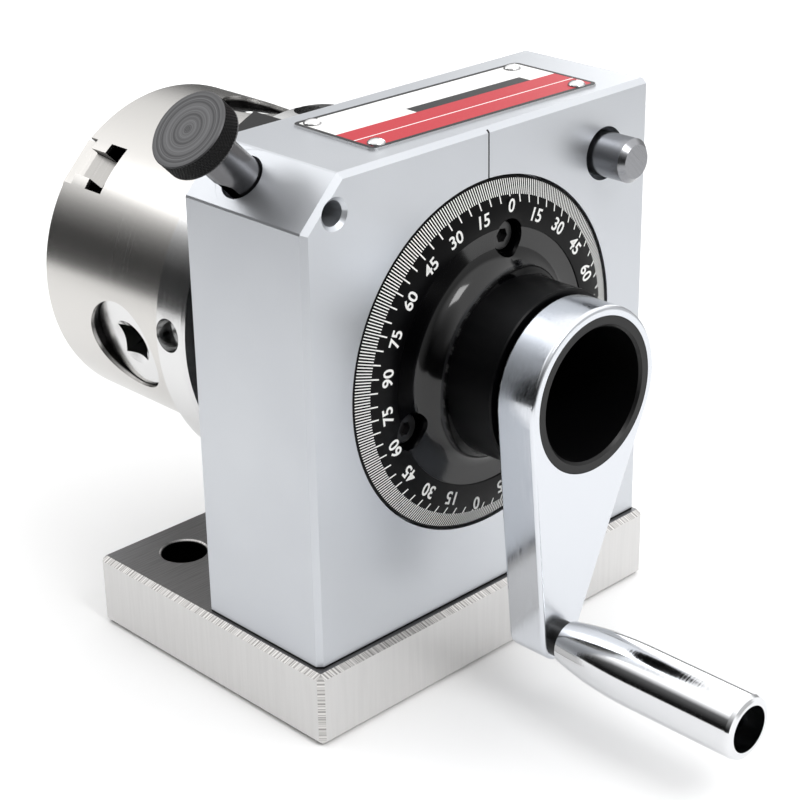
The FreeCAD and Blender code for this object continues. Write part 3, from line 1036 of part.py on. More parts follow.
def make_jaw(index):
    """One stepped jaw; its teeth follow the spiral, a third of a pitch on from its neighbour's."""
    name = "jaw_%d" % (index + 1)
    jaw = new_body(name)
    on_spindle(jaw, "chuck_turn + jaw_turn + 120 * %d" % index)
    side = sketch(jaw, name + "_side", "YZ_Plane")
    foot = SLOT_FLOOR + " + 0.05"
    inner_end = "jaw_inner"
    corners = [(foot, inner_end), (CHUCK_FACE + " + jaw_high", inner_end),
               (CHUCK_FACE + " + jaw_high", inner_end + " + jaw_step"),
               (CHUCK_FACE + " + jaw_middle", inner_end + " + jaw_step"),
               (CHUCK_FACE + " + jaw_middle", inner_end + " + 2 * jaw_step"),
               (CHUCK_FACE + " + jaw_low", inner_end + " + 2 * jaw_step"),
               (CHUCK_FACE + " + jaw_low", "jaw_outer - 2"), (CHUCK_FACE + " + jaw_low - 2", "jaw_outer"),
               (CHUCK_FACE + " - slot_lip", "jaw_outer"), (foot, "jaw_outer - jaw_end_slope")]
    polygon(side, corners)
    blank = pad(jaw, side, "slot_width - 2 * jaw_clearance", False, True)
    for sign, tag in (("-", "left"), ("", "right")):
        ways = sketch(jaw, name + "_way_" + tag, "XY_Plane", "jaw_outer")
        near = "%s(slot_neck / 2 - jaw_clearance)" % sign
        far = "%s(slot_width / 2 + 1)" % sign
        polygon(ways, [(near, CHUCK_FACE + " - slot_lip + jaw_clearance"),
                       (far, CHUCK_FACE + " - slot_lip + jaw_clearance"),
                       (far, CHUCK_FACE + " - slot_lip - rib_height - jaw_clearance"),
                       (near, CHUCK_FACE + " - slot_lip - rib_height - jaw_clearance")])
        pocket(jaw, ways, "jaw_outer - jaw_inner + 1")
        relief = sketch(jaw, name + "_relief_" + tag, "XY_Plane", "jaw_outer")
        web = "%s(jaw_web / 2)" % sign
        polygon(relief, [(web, RIB_END + " + 0.01"), (far, RIB_END + " + 0.01"), (far, SLOT_FLOOR + " - 0.5"),
                         (web, SLOT_FLOOR + " - 0.5")])
        pocket(jaw, relief, "jaw_end_relief")
    for sign, tag in (("-", "left"), ("", "right")):
        bevel = sketch(jaw, name + "_bevel_" + tag, "XZ_Plane", "-%s - jaw_high" % CHUCK_FACE)
        polygon(bevel, [("%sjaw_nose / 2" % sign, "jaw_inner - 0.5"), ("%s(slot_width / 2 + 0.5)" % sign, "jaw_inner - 0.5"),
                        ("%s(slot_width / 2 + 0.5)" % sign,
                         "jaw_inner + (slot_width / 2 + 0.5 - jaw_nose / 2) * tan(30)"),
                        ("%sjaw_nose / 2" % sign, "jaw_inner")])
        pocket(jaw, bevel, "jaw_high + slot_depth + 1", True)
    teeth = sketch(jaw, name + "_teeth", "YZ_Plane")
    for k in range(3):
        middle_radius = "(first_tooth + scroll_pitch * (%d + %d / 3))" % (k, index)
        rectangle(teeth, SLOT_FLOOR + " - scroll_tooth + 0.1", foot, middle_radius + " - jaw_tooth / 2",
                  middle_radius + " + jaw_tooth / 2")
    revolve(jaw, teeth, "H_Axis", "2 * jaw_tooth_angle", True)
    return jaw


def make_pinion(index):
    """One pinion: flush head with a square key socket, plain bevel cone and tail journal."""
    name = "pinion_%d" % (index + 1)
    pinion = new_body(name)
    place(pinion, "0", FRONT + " + " + PINION_AXIS, AXIS, V(0, 1, 0), "chuck_turn + 120 * %d" % index)
    profile = sketch(pinion, name + "_profile", "XZ_Plane")
    slit = "(keeper_reach + 0.3)"
    polygon(profile, [
        ("0", "tail_end"), ("pinion_tail", "tail_end"), ("pinion_tail", "bevel_inner"),
        ("bevel_inner * bevel_slope", "bevel_inner"), (WAIST, "cavity_radius + 1"), (WAIST, "pinion_seat + 0.05"),
        ("pinion_radius", "pinion_seat + 0.05"), ("pinion_radius", "keeper_height - keeper_radius - 0.1"),
        ("pinion_radius - " + slit, "keeper_height - keeper_radius - 0.1"),
        ("pinion_radius - " + slit, "keeper_height + keeper_radius + 0.1"),
        ("pinion_radius", "keeper_height + keeper_radius + 0.1"), ("pinion_radius", "pinion_top - 0.3"),
        ("pinion_radius - 0.3", "pinion_top"), ("key_countersink", "pinion_top"),
        ("0", "pinion_top - key_countersink * tan(25)")])
    revolve(pinion, profile)
    key = sketch(pinion, name + "_key", "XY_Plane", "pinion_top")
    rectangle(key, "-key_square / 2", "key_square / 2", "-key_square / 2", "key_square / 2")
    pocket(pinion, key, "key_depth")
    return pinion


jaws = [make_jaw(k) for k in range(3)]
pinions = [make_pinion(k) for k in range(3)]

NODES = [base_plate, body_block, base_screws, base_dowels, bore_liner, thrust_washer, stop_pin, name_plate,
         plate_rivets, plunger_bush, plunger_key, plunger_set_screw, index_pin, plunger_stem, plunger_knob, plunger_spring,
         spindle, index_ring, dial, dial_screws, crank_arm, handle_axle, handle_grip, chuck_adapter, rim_block, rim_screw, nose_screws,
         chuck_bolts, centring_screws, chuck_body, chuck_cover, cover_screws, pinion_keepers, scroll] + jaws + pinions

doc.recompute()
for item in doc.Objects:
    if "Invalid" in item.State or "Error" in item.State:
        raise RuntimeError("%s did not compute" % item.Name)
for node in NODES:
    if node.Shape.isNull() or not node.Shape.isValid():
        raise RuntimeError("%s has no valid shape" % node.Label)
os.makedirs("parts", exist_ok=True)
for node in NODES:
    node.Shape.exportStep("parts/%s.step" % node.Label)
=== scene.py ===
import math

import bmesh
import bpy
from mathutils import Matrix, Vector


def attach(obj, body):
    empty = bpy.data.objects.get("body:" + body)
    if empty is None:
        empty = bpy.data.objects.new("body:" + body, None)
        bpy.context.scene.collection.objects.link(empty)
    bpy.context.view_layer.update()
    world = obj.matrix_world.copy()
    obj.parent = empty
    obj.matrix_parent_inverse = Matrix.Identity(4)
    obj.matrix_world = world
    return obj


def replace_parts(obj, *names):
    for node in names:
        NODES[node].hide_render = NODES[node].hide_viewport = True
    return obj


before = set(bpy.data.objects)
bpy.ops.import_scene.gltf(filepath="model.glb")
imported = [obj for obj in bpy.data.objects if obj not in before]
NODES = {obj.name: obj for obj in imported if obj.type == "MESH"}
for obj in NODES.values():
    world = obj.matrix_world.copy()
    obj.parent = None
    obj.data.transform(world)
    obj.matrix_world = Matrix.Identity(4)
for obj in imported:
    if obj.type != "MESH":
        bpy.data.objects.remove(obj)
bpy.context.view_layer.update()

MM = 0.001
AXIS_HEIGHT = 76.0 * MM
BODY_FRONT = -37.2 * MM
SPINDLE = (0.0, 0.0, AXIS_HEIGHT)
ARM_REACH = 56.0 * MM
ARM_TURN = math.radians(190.0)
HANDLE = (ARM_REACH * math.sin(ARM_TURN), 0.0, AXIS_HEIGHT + ARM_REACH * math.cos(ARM_TURN))
DIAL_TURN = math.radians(10.0)
SCALE_TURN = math.radians(9.3)
ON_SPINDLE = Matrix.Translation(SPINDLE) @ Matrix.Rotation(DIAL_TURN, 4, "Y")
PLUNGER_LEAN = math.radians(-45.0)
PLUNGER_FOOT = (0.0, BODY_FRONT + 24.6 * MM, AXIS_HEIGHT)
PLUNGER = Matrix.Translation(PLUNGER_FOOT) @ Matrix.Rotation(PLUNGER_LEAN, 4, "Y")

# Places on the pieces that their finishes follow: the body's foot, the line over the dial and half its width,
# a hold-down hole, and the ends of the chuck
BODY_FOOT = 18.0 * MM
DIAL_RIM = 40.5 * MM
REFERENCE_LINE = 0.5 * MM
LINE_SIDE = 0.3 * MM
HOLD_DOWN_HOLE = (38.9 * MM, 26.45 * MM, 0.0)
CHUCK_ENDS = (25.1 * MM, 73.3 * MM)


# Colours and nodes
def linear(code):
    """An sRGB hex colour as linear red, green, blue and alpha."""
    values = [int(code[i:i + 2], 16) / 255.0 for i in (0, 2, 4)]
    return [v / 12.92 if v <= 0.04045 else ((v + 0.055) / 1.055) ** 2.4 for v in values] + [1.0]


def add(tree, kind, links=(), **settings):
    """A node with its settings; a setting that names a socket sets that socket."""
    node = tree.nodes.new(kind)
    sockets = {}
    for key, value in settings.items():
        if hasattr(node, key):
            setattr(node, key, value)
        else:
            sockets[key.replace("_", " ")] = value
    for key, value in sockets.items():
        node.inputs[key].default_value = value
    for key, source in links:
        tree.links.new(source, node.inputs[key])
    return node


def new_finish(name):
    material = bpy.data.materials.new(name)
    material.use_nodes = True
    tree = material.node_tree
    tree.nodes.clear()
    shader = add(tree, "ShaderNodeBsdfPrincipled")
    out = add(tree, "ShaderNodeOutputMaterial")
    tree.links.new(shader.outputs["BSDF"], out.inputs["Surface"])
    return material, tree, shader


def fine_grain(tree, per_mm, detail=4.0, stretch=(1.0, 1.0, 1.0)):
    """Noise with so many grains in a millimetre, drawn out along an axis by a small stretch."""
    where = add(tree, "ShaderNodeTexCoord")
    scale = [1000.0 * per_mm * s for s in stretch]
    mapped = add(tree, "ShaderNodeMapping", [("Vector", where.outputs["Object"])], Scale=scale)
    return add(tree, "ShaderNodeTexNoise", [("Vector", mapped.outputs["Vector"])],
               Scale=1.0, Detail=detail, Roughness=0.6)


def lathe_marks(tree, per_mm, centre, tilt=0.0, detail=3.0):
    """Rings left by turning, so many in a millimetre, about an axis through centre.
    The axis is parallel to Y, or to Z leaned over by tilt about Y where a tilt is given."""
    where = add(tree, "ShaderNodeTexCoord")
    moved = add(tree, "ShaderNodeVectorMath", [(0, where.outputs["Object"])], operation="SUBTRACT")
    moved.inputs[1].default_value = centre
    upright = add(tree, "ShaderNodeVectorRotate", [("Vector", moved.outputs[0])],
                  rotation_type="Y_AXIS", Angle=-tilt)
    parts = add(tree, "ShaderNodeSeparateXYZ", [("Vector", upright.outputs[0])])
    across, along = ("Y", "Z") if tilt else ("Z", "Y")
    flat = add(tree, "ShaderNodeCombineXYZ", [("X", parts.outputs["X"]), ("Y", parts.outputs[across])])
    radius = add(tree, "ShaderNodeVectorMath", [(0, flat.outputs[0])], operation="LENGTH")
    rolled = add(tree, "ShaderNodeCombineXYZ", [("X", radius.outputs["Value"]), ("Y", parts.outputs[along])])
    sized = add(tree, "ShaderNodeVectorMath", [(0, rolled.outputs[0])],
                operation="SCALE", Scale=1000.0 * per_mm)
    rings = add(tree, "ShaderNodeTexNoise", [("Vector", sized.outputs[0])],
                Scale=1.0, Detail=detail, Roughness=0.6)
    return rings, radius.outputs["Value"]


def relief(tree, shader, height, depth_mm, strength=1.0):
    bump = add(tree, "ShaderNodeBump", [("Height", height)], Strength=strength, Distance=depth_mm * MM)
    tree.links.new(bump.outputs["Normal"], shader.inputs["Normal"])
    return bump


def spread(tree, factor, low, high, start=0.0, end=1.0):
    """Maps a factor onto a range of plain numbers."""
    return add(tree, "ShaderNodeMapRange", [("Value", factor)],
               From_Min=start, From_Max=end, To_Min=low, To_Max=high)


def tint(tree, factor, dark, light, start=0.3, end=0.7):
    ramp = add(tree, "ShaderNodeValToRGB", [("Fac", factor)])
    ramp.color_ramp.elements[0].position = start
    ramp.color_ramp.elements[0].color = linear(dark)
    ramp.color_ramp.elements[1].position = end
    ramp.color_ramp.elements[1].color = linear(light)
    return ramp


def between(tree, value, low, high, blur=0.1 * MM):
    """One where a value lies between two lengths and nothing elsewhere."""
    rise = spread(tree, value, 0.0, 1.0, low, low + blur)
    fall = spread(tree, value, 1.0, 0.0, high - blur, high)
    return add(tree, "ShaderNodeMath", [(0, rise.outputs[0]), (1, fall.outputs[0])], operation="MULTIPLY")


def blended(tree, factor, first, second):
    """The first colour where the factor is nothing and the second where it is one."""
    mixed = add(tree, "ShaderNodeMix", [("Factor", factor), (6, first)], data_type="RGBA")
    if isinstance(second, str):
        mixed.inputs[7].default_value = linear(second)
    else:
        tree.links.new(second, mixed.inputs[7])
    return mixed.outputs[2]


# Satin hard-chromed steel, ground and bead blasted: an even pale grey with a soft sheen.
# A painted shade darkens the band along its foot at the joint with the base, and the reference line over the
# dial is inked.
def satin_chromed_steel():
    material, tree, shader = new_finish("satin_chromed_steel")
    grain = fine_grain(tree, 2.2)
    cloud = fine_grain(tree, 0.02, 2.0)
    colour = tint(tree, cloud.outputs["Fac"], "C6C9CE", "CED1D5")
    where = add(tree, "ShaderNodeTexCoord")
    spot = add(tree, "ShaderNodeSeparateXYZ", [("Vector", where.outputs["Object"])])
    # Painted shade: a dark band just above the body's foot, along its joint with the base
    foot_painted_shade = between(tree, spot.outputs["Z"], BODY_FOOT - MM, BODY_FOOT + 0.55 * MM)
    foot_painted_shade_colour = blended(tree, foot_painted_shade.outputs[0], colour.outputs["Color"], "242424")
    across = between(tree, spot.outputs["X"], REFERENCE_LINE - LINE_SIDE, REFERENCE_LINE + LINE_SIDE,
                     0.05 * MM)
    inside = between(tree, spot.outputs["Y"], BODY_FRONT + 0.02 * MM, BODY_FRONT + 0.6 * MM, 0.02 * MM)
    line = add(tree, "ShaderNodeMath", [(0, across.outputs[0]), (1, inside.outputs[0])], operation="MULTIPLY")
    above = spread(tree, spot.outputs["Z"], 0.0, 1.0, AXIS_HEIGHT, AXIS_HEIGHT + DIAL_RIM)
    inked = add(tree, "ShaderNodeMath", [(0, line.outputs[0]), (1, above.outputs[0])], operation="MULTIPLY")
    tree.links.new(blended(tree, inked.outputs[0], foot_painted_shade_colour, "303032"), shader.inputs["Base Color"])
    rough = spread(tree, grain.outputs["Fac"], 0.36, 0.44)
    tree.links.new(rough.outputs["Result"], shader.inputs["Roughness"])
    shader.inputs["Metallic"].default_value = 0.85
    relief(tree, shader, grain.outputs["Fac"], 0.01, 0.12)
    return material


# Surface ground tool steel: grinding lines along the top, painted dark grey as a painted reflection of the
# room, and smooth pale sides.
# Its edges were filed by hand, in short strokes across the edge, and its hold-down holes are painted black
# inside as shade.
def ground_tool_steel():
    material, tree, shader = new_finish("ground_tool_steel")
    along = fine_grain(tree, 3.0, 3.0, (0.02, 1.0, 1.0))
    upright = fine_grain(tree, 1.2, 3.0, (1.0, 1.0, 0.04))
    facing = add(tree, "ShaderNodeNewGeometry")
    parts = add(tree, "ShaderNodeSeparateXYZ", [("Vector", facing.outputs["Normal"])])
    side = tint(tree, upright.outputs["Fac"], "D2D1D0", "D6D5D4", 0.35, 0.65)
    # Painted reflection: upward faces are painted dark grey and the sides pale, for the dark room the top
    # mirrors
    painted_reflection_top = tint(tree, along.outputs["Fac"], "68686A", "858586", 0.3, 0.7)
    painted_reflection_mask = spread(tree, parts.outputs["Z"], 0.0, 1.0, 0.85, 0.95)
    flat = blended(tree, painted_reflection_mask.outputs["Result"], side.outputs["Color"], painted_reflection_top.outputs["Color"])
    where = add(tree, "ShaderNodeTexCoord")
    away = add(tree, "ShaderNodeVectorMath", [(0, facing.outputs["Normal"])], operation="ABSOLUTE")
    run = add(tree, "ShaderNodeVectorMath", [(1, away.outputs[0])], operation="SUBTRACT")
    run.inputs[0].default_value = (1.0, 1.0, 1.0)
    along_edge = add(tree, "ShaderNodeVectorMath", [(0, where.outputs["Object"]), (1, run.outputs[0])],
                     operation="DOT_PRODUCT")
    strokes = add(tree, "ShaderNodeTexNoise", [("W", along_edge.outputs["Value"])], noise_dimensions="1D",
                  Scale=2000.0, Detail=3.0)
    slant = add(tree, "ShaderNodeVectorMath", [(0, away.outputs[0])], operation="DOT_PRODUCT")
    slant.inputs[1].default_value = (1.0, 1.0, 1.0)
    edge = spread(tree, slant.outputs["Value"], 0.0, 1.0, 1.15, 1.3)
    filed = tint(tree, strokes.outputs["Fac"], "979593", "DEDCDA", 0.38, 0.60)
    worn = blended(tree, edge.outputs["Result"], flat, filed.outputs["Color"])
    spot = add(tree, "ShaderNodeSeparateXYZ", [("Vector", where.outputs["Object"])])
    across = add(tree, "ShaderNodeMath", [(0, spot.outputs["X"])], operation="ABSOLUTE")
    plan = add(tree, "ShaderNodeCombineXYZ", [("X", across.outputs[0]), ("Y", spot.outputs["Y"])])
    reach = add(tree, "ShaderNodeVectorMath", [(0, plan.outputs[0])], operation="DISTANCE")
    reach.inputs[1].default_value = HOLD_DOWN_HOLE
    # Painted shade: the walls of the hold-down holes are painted near black
    hole_painted_shade = spread(tree, reach.outputs["Value"], 1.0, 0.0, 5.6 * MM, 5.75 * MM)
    tree.links.new(blended(tree, hole_painted_shade.outputs["Result"], worn, "080808"), shader.inputs["Base Color"])
    rough = spread(tree, along.outputs["Fac"], 0.28, 0.40)
    tree.links.new(rough.outputs["Result"], shader.inputs["Roughness"])
    shader.inputs["Metallic"].default_value = 0.8
    relief(tree, shader, upright.outputs["Fac"], 0.004, 0.04)
    return material


# Turned or ground bright steel: rings round its own axis under a clear reflection
def turned_steel(name, tone, rough_low, rough_high, per_mm=3.0, depth_mm=0.004, centre=SPINDLE, tilt=0.0,
                 skin_mm=0.0):
    """The walls of slots and holes under the skin radius, where one is given, are painted dark as shade."""
    material, tree, shader = new_finish(name)
    rings, radius = lathe_marks(tree, per_mm, centre, tilt)
    rough = spread(tree, rings.outputs["Fac"], rough_low, rough_high, 0.3, 0.7)
    tree.links.new(rough.outputs["Result"], shader.inputs["Roughness"])
    shader.inputs["Base Color"].default_value = linear(tone)
    shader.inputs["Metallic"].default_value = 1.0
    if depth_mm:
        relief(tree, shader, rings.outputs["Fac"], depth_mm, 0.5)
    if skin_mm:
        # Painted shade: walls of slots and holes inside the chuck's length, under the skin radius, are
        # painted dark
        where = add(tree, "ShaderNodeTexCoord")
        spot = add(tree, "ShaderNodeSeparateXYZ", [("Vector", where.outputs["Object"])])
        inner = between(tree, spot.outputs["Y"], *CHUCK_ENDS)
        skin = spread(tree, radius, 1.0, 0.0, (skin_mm - 0.5) * MM, skin_mm * MM)
        painted_recess_shade = add(tree, "ShaderNodeMath", [(0, inner.outputs[0]), (1, skin.outputs[0])],
                   operation="MULTIPLY")
        colour = tint(tree, painted_recess_shade.outputs[0], tone, "1E1D1D", 0.0, 1.0)
        tree.links.new(colour.outputs["Color"], shader.inputs["Base Color"])
    return material


# Black oxide on steel: deep black with an oily gloss that depends on how smooth the steel was
def black_oxide(name, tone, rough, gloss, depth_mm=0.004):
    material, tree, shader = new_finish(name)
    rings = lathe_marks(tree, 4.0, SPINDLE)[0]
    change = spread(tree, rings.outputs["Fac"], rough - 0.03, rough + 0.05)
    tree.links.new(change.outputs["Result"], shader.inputs["Roughness"])
    shader.inputs["Base Color"].default_value = linear(tone)
    shader.inputs["Specular IOR Level"].default_value = gloss
    relief(tree, shader, rings.outputs["Fac"], depth_mm, 0.3)
    return material


# Black oxide worn bright on the ridges that the lathe left across the knob's end
def worn_black_oxide():
    material, tree, shader = new_finish("worn_black_oxide")
    rings = lathe_marks(tree, 3.2, PLUNGER_FOOT, PLUNGER_LEAN, 6.0)[0]
    colour = tint(tree, rings.outputs["Fac"], "353536", "747476", 0.30, 0.80)
    tree.links.new(colour.outputs["Color"], shader.inputs["Base Color"])
    rough = spread(tree, rings.outputs["Fac"], 0.50, 0.36)
    tree.links.new(rough.outputs["Result"], shader.inputs["Roughness"])
    shader.inputs["Metallic"].default_value = 0.7
    relief(tree, shader, rings.outputs["Fac"], 0.02, 0.5)
    return material


# Chrome over a ground crank: flat faces stay satin, and the polished edge mirrors the room in long streaks
def plated_crank_steel():
    material, tree, shader = new_finish("plated_crank_steel")
    grain = fine_grain(tree, 3.0)
    streaks = fine_grain(tree, 1.5, 3.0, (1.0, 1.0, 0.05))
    facing = add(tree, "ShaderNodeNewGeometry")
    parts = add(tree, "ShaderNodeSeparateXYZ", [("Vector", facing.outputs["Normal"])])
    level = add(tree, "ShaderNodeMath", [(0, parts.outputs["Y"])], operation="ABSOLUTE")
    flat = spread(tree, level.outputs[0], 0.0, 1.0, 0.8, 0.95)
    polished = spread(tree, streaks.outputs["Fac"], 0.10, 0.22, 0.3, 0.7)
    satin = spread(tree, grain.outputs["Fac"], 0.25, 0.27)
    rough = add(tree, "ShaderNodeMix",
                [("Factor", flat.outputs[0]), (2, polished.outputs[0]), (3, satin.outputs[0])],
                data_type="FLOAT")
    tree.links.new(rough.outputs[0], shader.inputs["Roughness"])
    shader.inputs["Base Color"].default_value = linear("D6D9DE")
    shader.inputs["Metallic"].default_value = 1.0
    return material


# Screen-printing ink on sheet aluminium or on the dial: flat, slightly glossy
def printing_ink(name, code, rough=0.40):
    material, tree, shader = new_finish(name)
    grain = fine_grain(tree, 3.0)
    shader.inputs["Base Color"].default_value = linear(code)
    change = spread(tree, grain.outputs["Fac"], rough - 0.05, rough + 0.08)
    tree.links.new(change.outputs["Result"], shader.inputs["Roughness"])
    shader.inputs["Specular IOR Level"].default_value = 0.3
    return material


SATIN = satin_chromed_steel()
GROUND = ground_tool_steel()
CHUCK = turned_steel("turned_chuck_steel", "CCCAC7", 0.20, 0.28, skin_mm=39.3)
JAW = turned_steel("ground_jaw_steel", "B9B7B4", 0.26, 0.34)
BRIGHT = turned_steel("turned_bright_steel", "D6D6D6", 0.14, 0.22)
STEM_STEEL = turned_steel("ground_stem_steel", "727274", 0.20, 0.28, 3.0, 0.003, PLUNGER_FOOT, PLUNGER_LEAN)
PIN_STEEL = turned_steel("hardened_pin_steel", "8E8F92", 0.20, 0.28)
OXIDE = black_oxide("black_oxide_steel", "070708", 0.34, 0.30)
SCREW_BLACK = black_oxide("black_oxide_screws", "19191A", 0.30, 0.6)
DIAL_BLACK = black_oxide("black_oxide_dial", "020203", 0.32, 0.12)
HUB_BLACK = black_oxide("black_oxide_hub", "030304", 0.10, 0.50, 0.002)
KNURL_BLACK = black_oxide("black_oxide_knurl", "050506", 0.45, 0.20)
WORN_BLACK = worn_black_oxide()
CHROME = turned_steel("polished_chrome", "DCDDDF", 0.06, 0.12, 2.2, 0.03, HANDLE)
CRANK_CHROME = plated_crank_steel()
PLATE_METAL = turned_steel("sheet_aluminium", "D0D0D0", 0.25, 0.35)
WHITE_INK = printing_ink("white_ink", "F6F6F4")
RED_INK = printing_ink("red_ink", "BE2A36")
GREY_INK = printing_ink("dark_grey_ink", "262628")


def dress(material, *names):
    for name in names:
        mesh = NODES[name].data
        mesh.materials.clear()
        mesh.materials.append(material)


dress(SATIN, "body_block", "plunger_bush")
dress(GROUND, "base_plate")
dress(CHUCK, "chuck_body", "chuck_cover")
dress(JAW, "jaw_1", "jaw_2", "jaw_3")
dress(PIN_STEEL, "stop_pin")
dress(SCREW_BLACK, "dial_screws")
dress(BRIGHT, "chuck_adapter", "pinion_1", "pinion_2", "pinion_3", "scroll", "index_ring", "bore_liner",
      "base_dowels", "pinion_keepers", "plate_rivets")
dress(STEM_STEEL, "plunger_stem", "index_pin", "plunger_spring")
dress(OXIDE, "spindle", "plunger_set_screw", "plunger_key", "base_screws", "nose_screws", "chuck_bolts",
      "centring_screws", "cover_screws", "handle_axle", "thrust_washer", "rim_block", "rim_screw",
      "plunger_knob")
dress(DIAL_BLACK, "dial")
dress(CRANK_CHROME, "crank_arm")
dress(CHROME, "handle_grip")
dress(PLATE_METAL, "name_plate")


def keep(mesh, name, body, material=None):
    """A finished mesh as a piece of the object."""
    piece = bpy.data.objects.new(name, mesh)
    bpy.context.scene.collection.objects.link(piece)
    if material:
        mesh.materials.clear()
        mesh.materials.append(material)
    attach(piece, body)
    return piece


# Shapes
def soften(mesh, angle=math.radians(28.0)):
    """Smooth faces that still meet in a crisp edge where they turn by more than the angle."""
    shape = bmesh.new()
    shape.from_mesh(mesh)
    for face in shape.faces:
        face.smooth = True
    for edge in shape.edges:
        edge.smooth = len(edge.link_faces) == 2 and edge.calc_face_angle() < angle
    shape.to_mesh(mesh)
    shape.free()
    return mesh


def turned(outline, steps, name, ripple=None):
    """A solid of revolution about local Z from (radius, height) pairs in millimetres.
    The pairs start and end on the axis, or go once round a ring.
    A ripple gives the depth in millimetres by which the surface lies lower at an angle and a height."""
    shape = bmesh.new()
    rows = []
    for radius, height in outline:
        if radius < 1e-6:
            rows.append([shape.verts.new((0.0, 0.0, height * MM))])
            continue
        row = []
        for k in range(steps):
            angle = 2 * math.pi * k / steps
            reach = (radius - (ripple(angle, height) if ripple else 0.0)) * MM
            row.append(shape.verts.new((reach * math.cos(angle), reach * math.sin(angle), height * MM)))
        rows.append(row)
    pairs = list(zip(rows, rows[1:]))
    if len(rows[0]) > 1:
        pairs.append((rows[-1], rows[0]))
    for low, high in pairs:
        for k in range(steps):
            corners = []
            n = k + 1
            for vertex in (low[k % len(low)], low[n % len(low)], high[n % len(high)], high[k % len(high)]):
                if vertex not in corners:
                    corners.append(vertex)
            if len(corners) > 2:
                shape.faces.new(corners)
    bmesh.ops.recalc_face_normals(shape, faces=shape.faces)
    mesh = bpy.data.meshes.new(name)
    shape.to_mesh(mesh)
    shape.free()
    return mesh


def held(mesh):
    """An object that carries a mesh for a moment."""
    item = bpy.data.objects.new("held", mesh)
    bpy.context.scene.collection.objects.link(item)
    return item


def settled(item):
    """The plain mesh that an object shows; the object goes."""
    bpy.context.view_layer.update()
    mesh = bpy.data.meshes.new_from_object(item.evaluated_get(bpy.context.evaluated_depsgraph_get()))
    item.modifiers.clear()
    bpy.data.objects.remove(item)
    return mesh


def cut(mesh, tool):
    """The mesh without what the tool mesh covers."""
    item = held(mesh)
    knife = held(tool)
    change = item.modifiers.new("cut", "BOOLEAN")
    change.object = knife
    change.solver = "EXACT"
    result = settled(item)
    bpy.data.objects.remove(knife)
    return result


def grow(tree, values, place):
    """The plain mesh that a tree makes from these values, moved to its place."""
    holder = held(bpy.data.meshes.new("holder"))
    modifier = holder.modifiers.new("nodes", "NODES")
    modifier.node_group = tree
    for item in tree.interface.items_tree:
        if item.in_out == "INPUT" and item.name in values:
            modifier[item.identifier] = values[item.name]
    mesh = settled(holder)
    mesh.transform(place)
    return mesh


def join(meshes, name):
    """Several meshes as one."""
    whole = bmesh.new()
    for mesh in meshes:
        whole.from_mesh(mesh)
    result = bpy.data.meshes.new(name)
    whole.to_mesh(result)
    whole.free()
    return result


def new_tree(name, inputs):
    """An empty geometry tree with named inputs and one output."""
    tree = bpy.data.node_groups.new(name, "GeometryNodeTree")
    for label, kind in inputs:
        tree.interface.new_socket(name=label, in_out="INPUT", socket_type="NodeSocket" + kind)
    tree.interface.new_socket(name="Geometry", in_out="OUTPUT", socket_type="NodeSocketGeometry")
    return tree, add(tree, "NodeGroupInput").outputs


def end_tree(tree, points, instance, rotation, ink):
    """Copies on points, made real and given their material."""
    links = [("Points", points), ("Instance", instance)]
    if rotation is not None:
        links.append(("Rotation", rotation))
    copies = add(tree, "GeometryNodeInstanceOnPoints", links)
    real = add(tree, "GeometryNodeRealizeInstances", [("Geometry", copies.outputs[0])])
    inked = add(tree, "GeometryNodeSetMaterial", [("Geometry", real.outputs[0]), ("Material", ink)])
    add(tree, "NodeGroupOutput", [("Geometry", inked.outputs[0])])
    return tree


# Dial: a raised black disc whose bevelled rim carries the scale, with a cone and a hub in front.
# Heights are millimetres in front of the body. The disc is turned about local Z, then laid on the spindle.
FACE_HEIGHT = 2.0
HUB_RADIUS = 20.4
BEVEL_INNER = 34.0
BEVEL_OUTER = 40.35
RIM_HEIGHT = -0.4
SLOPE = (FACE_HEIGHT - RIM_HEIGHT) / (BEVEL_OUTER - BEVEL_INNER)
DIAL_BORE = 17.55
HUB_FRONT = 20.1
FLANGE_HEIGHT = 1.75
DIAL_BACK = -4.9
SINK_FLOOR = -3.15
SINK_RADIUS = 4.3
SINK_CIRCLE = 27.2 * MM
hub_foot = [(HUB_RADIUS, 7.8), (20.6, 6.4), (21.1, 5.0), (21.9, 3.7), (23.0, 2.6), (24.3, 1.95),
            (25.4, FLANGE_HEIGHT)]
dial_outline = [(DIAL_BORE, HUB_FRONT), (HUB_RADIUS - 0.3, HUB_FRONT), (HUB_RADIUS, HUB_FRONT - 0.3)]
dial_outline += hub_foot
dial_outline += [(29.5, FLANGE_HEIGHT), (29.6, FACE_HEIGHT), (BEVEL_INNER, FACE_HEIGHT),
                 (BEVEL_OUTER, RIM_HEIGHT), (BEVEL_OUTER, DIAL_BACK), (DIAL_BORE, DIAL_BACK)]
TO_FRONT = Matrix.Translation((0.0, BODY_FRONT, 0.0)) @ Matrix.Rotation(math.radians(90.0), 4, "X")
new_dial = turned(dial_outline, 240, "dial_disc")
sinks = []
for k in range(3):
    angle = math.radians(90.0 - 120.0 * k)
    sink = turned([(0.0, SINK_FLOOR), (SINK_RADIUS, SINK_FLOOR), (SINK_RADIUS, 4.0), (0.0, 4.0)], 48, "sink")
    sink.transform(Matrix.Translation((SINK_CIRCLE * math.cos(angle), SINK_CIRCLE * math.sin(angle), 0.0)))
    sinks.append(sink)
new_dial = soften(cut(new_dial, join(sinks, "sinks")))
new_dial.materials.clear()
new_dial.materials.append(DIAL_BLACK)
new_dial.materials.append(HUB_BLACK)
for face in new_dial.polygons:
    face.material_index = 1 if HUB_RADIUS * MM < math.hypot(face.center.x, face.center.y) < 29.4 * MM else 0
new_dial.transform(ON_SPINDLE @ TO_FRONT)
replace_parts(keep(new_dial, "dial_disc", "spindle_group"), "dial")


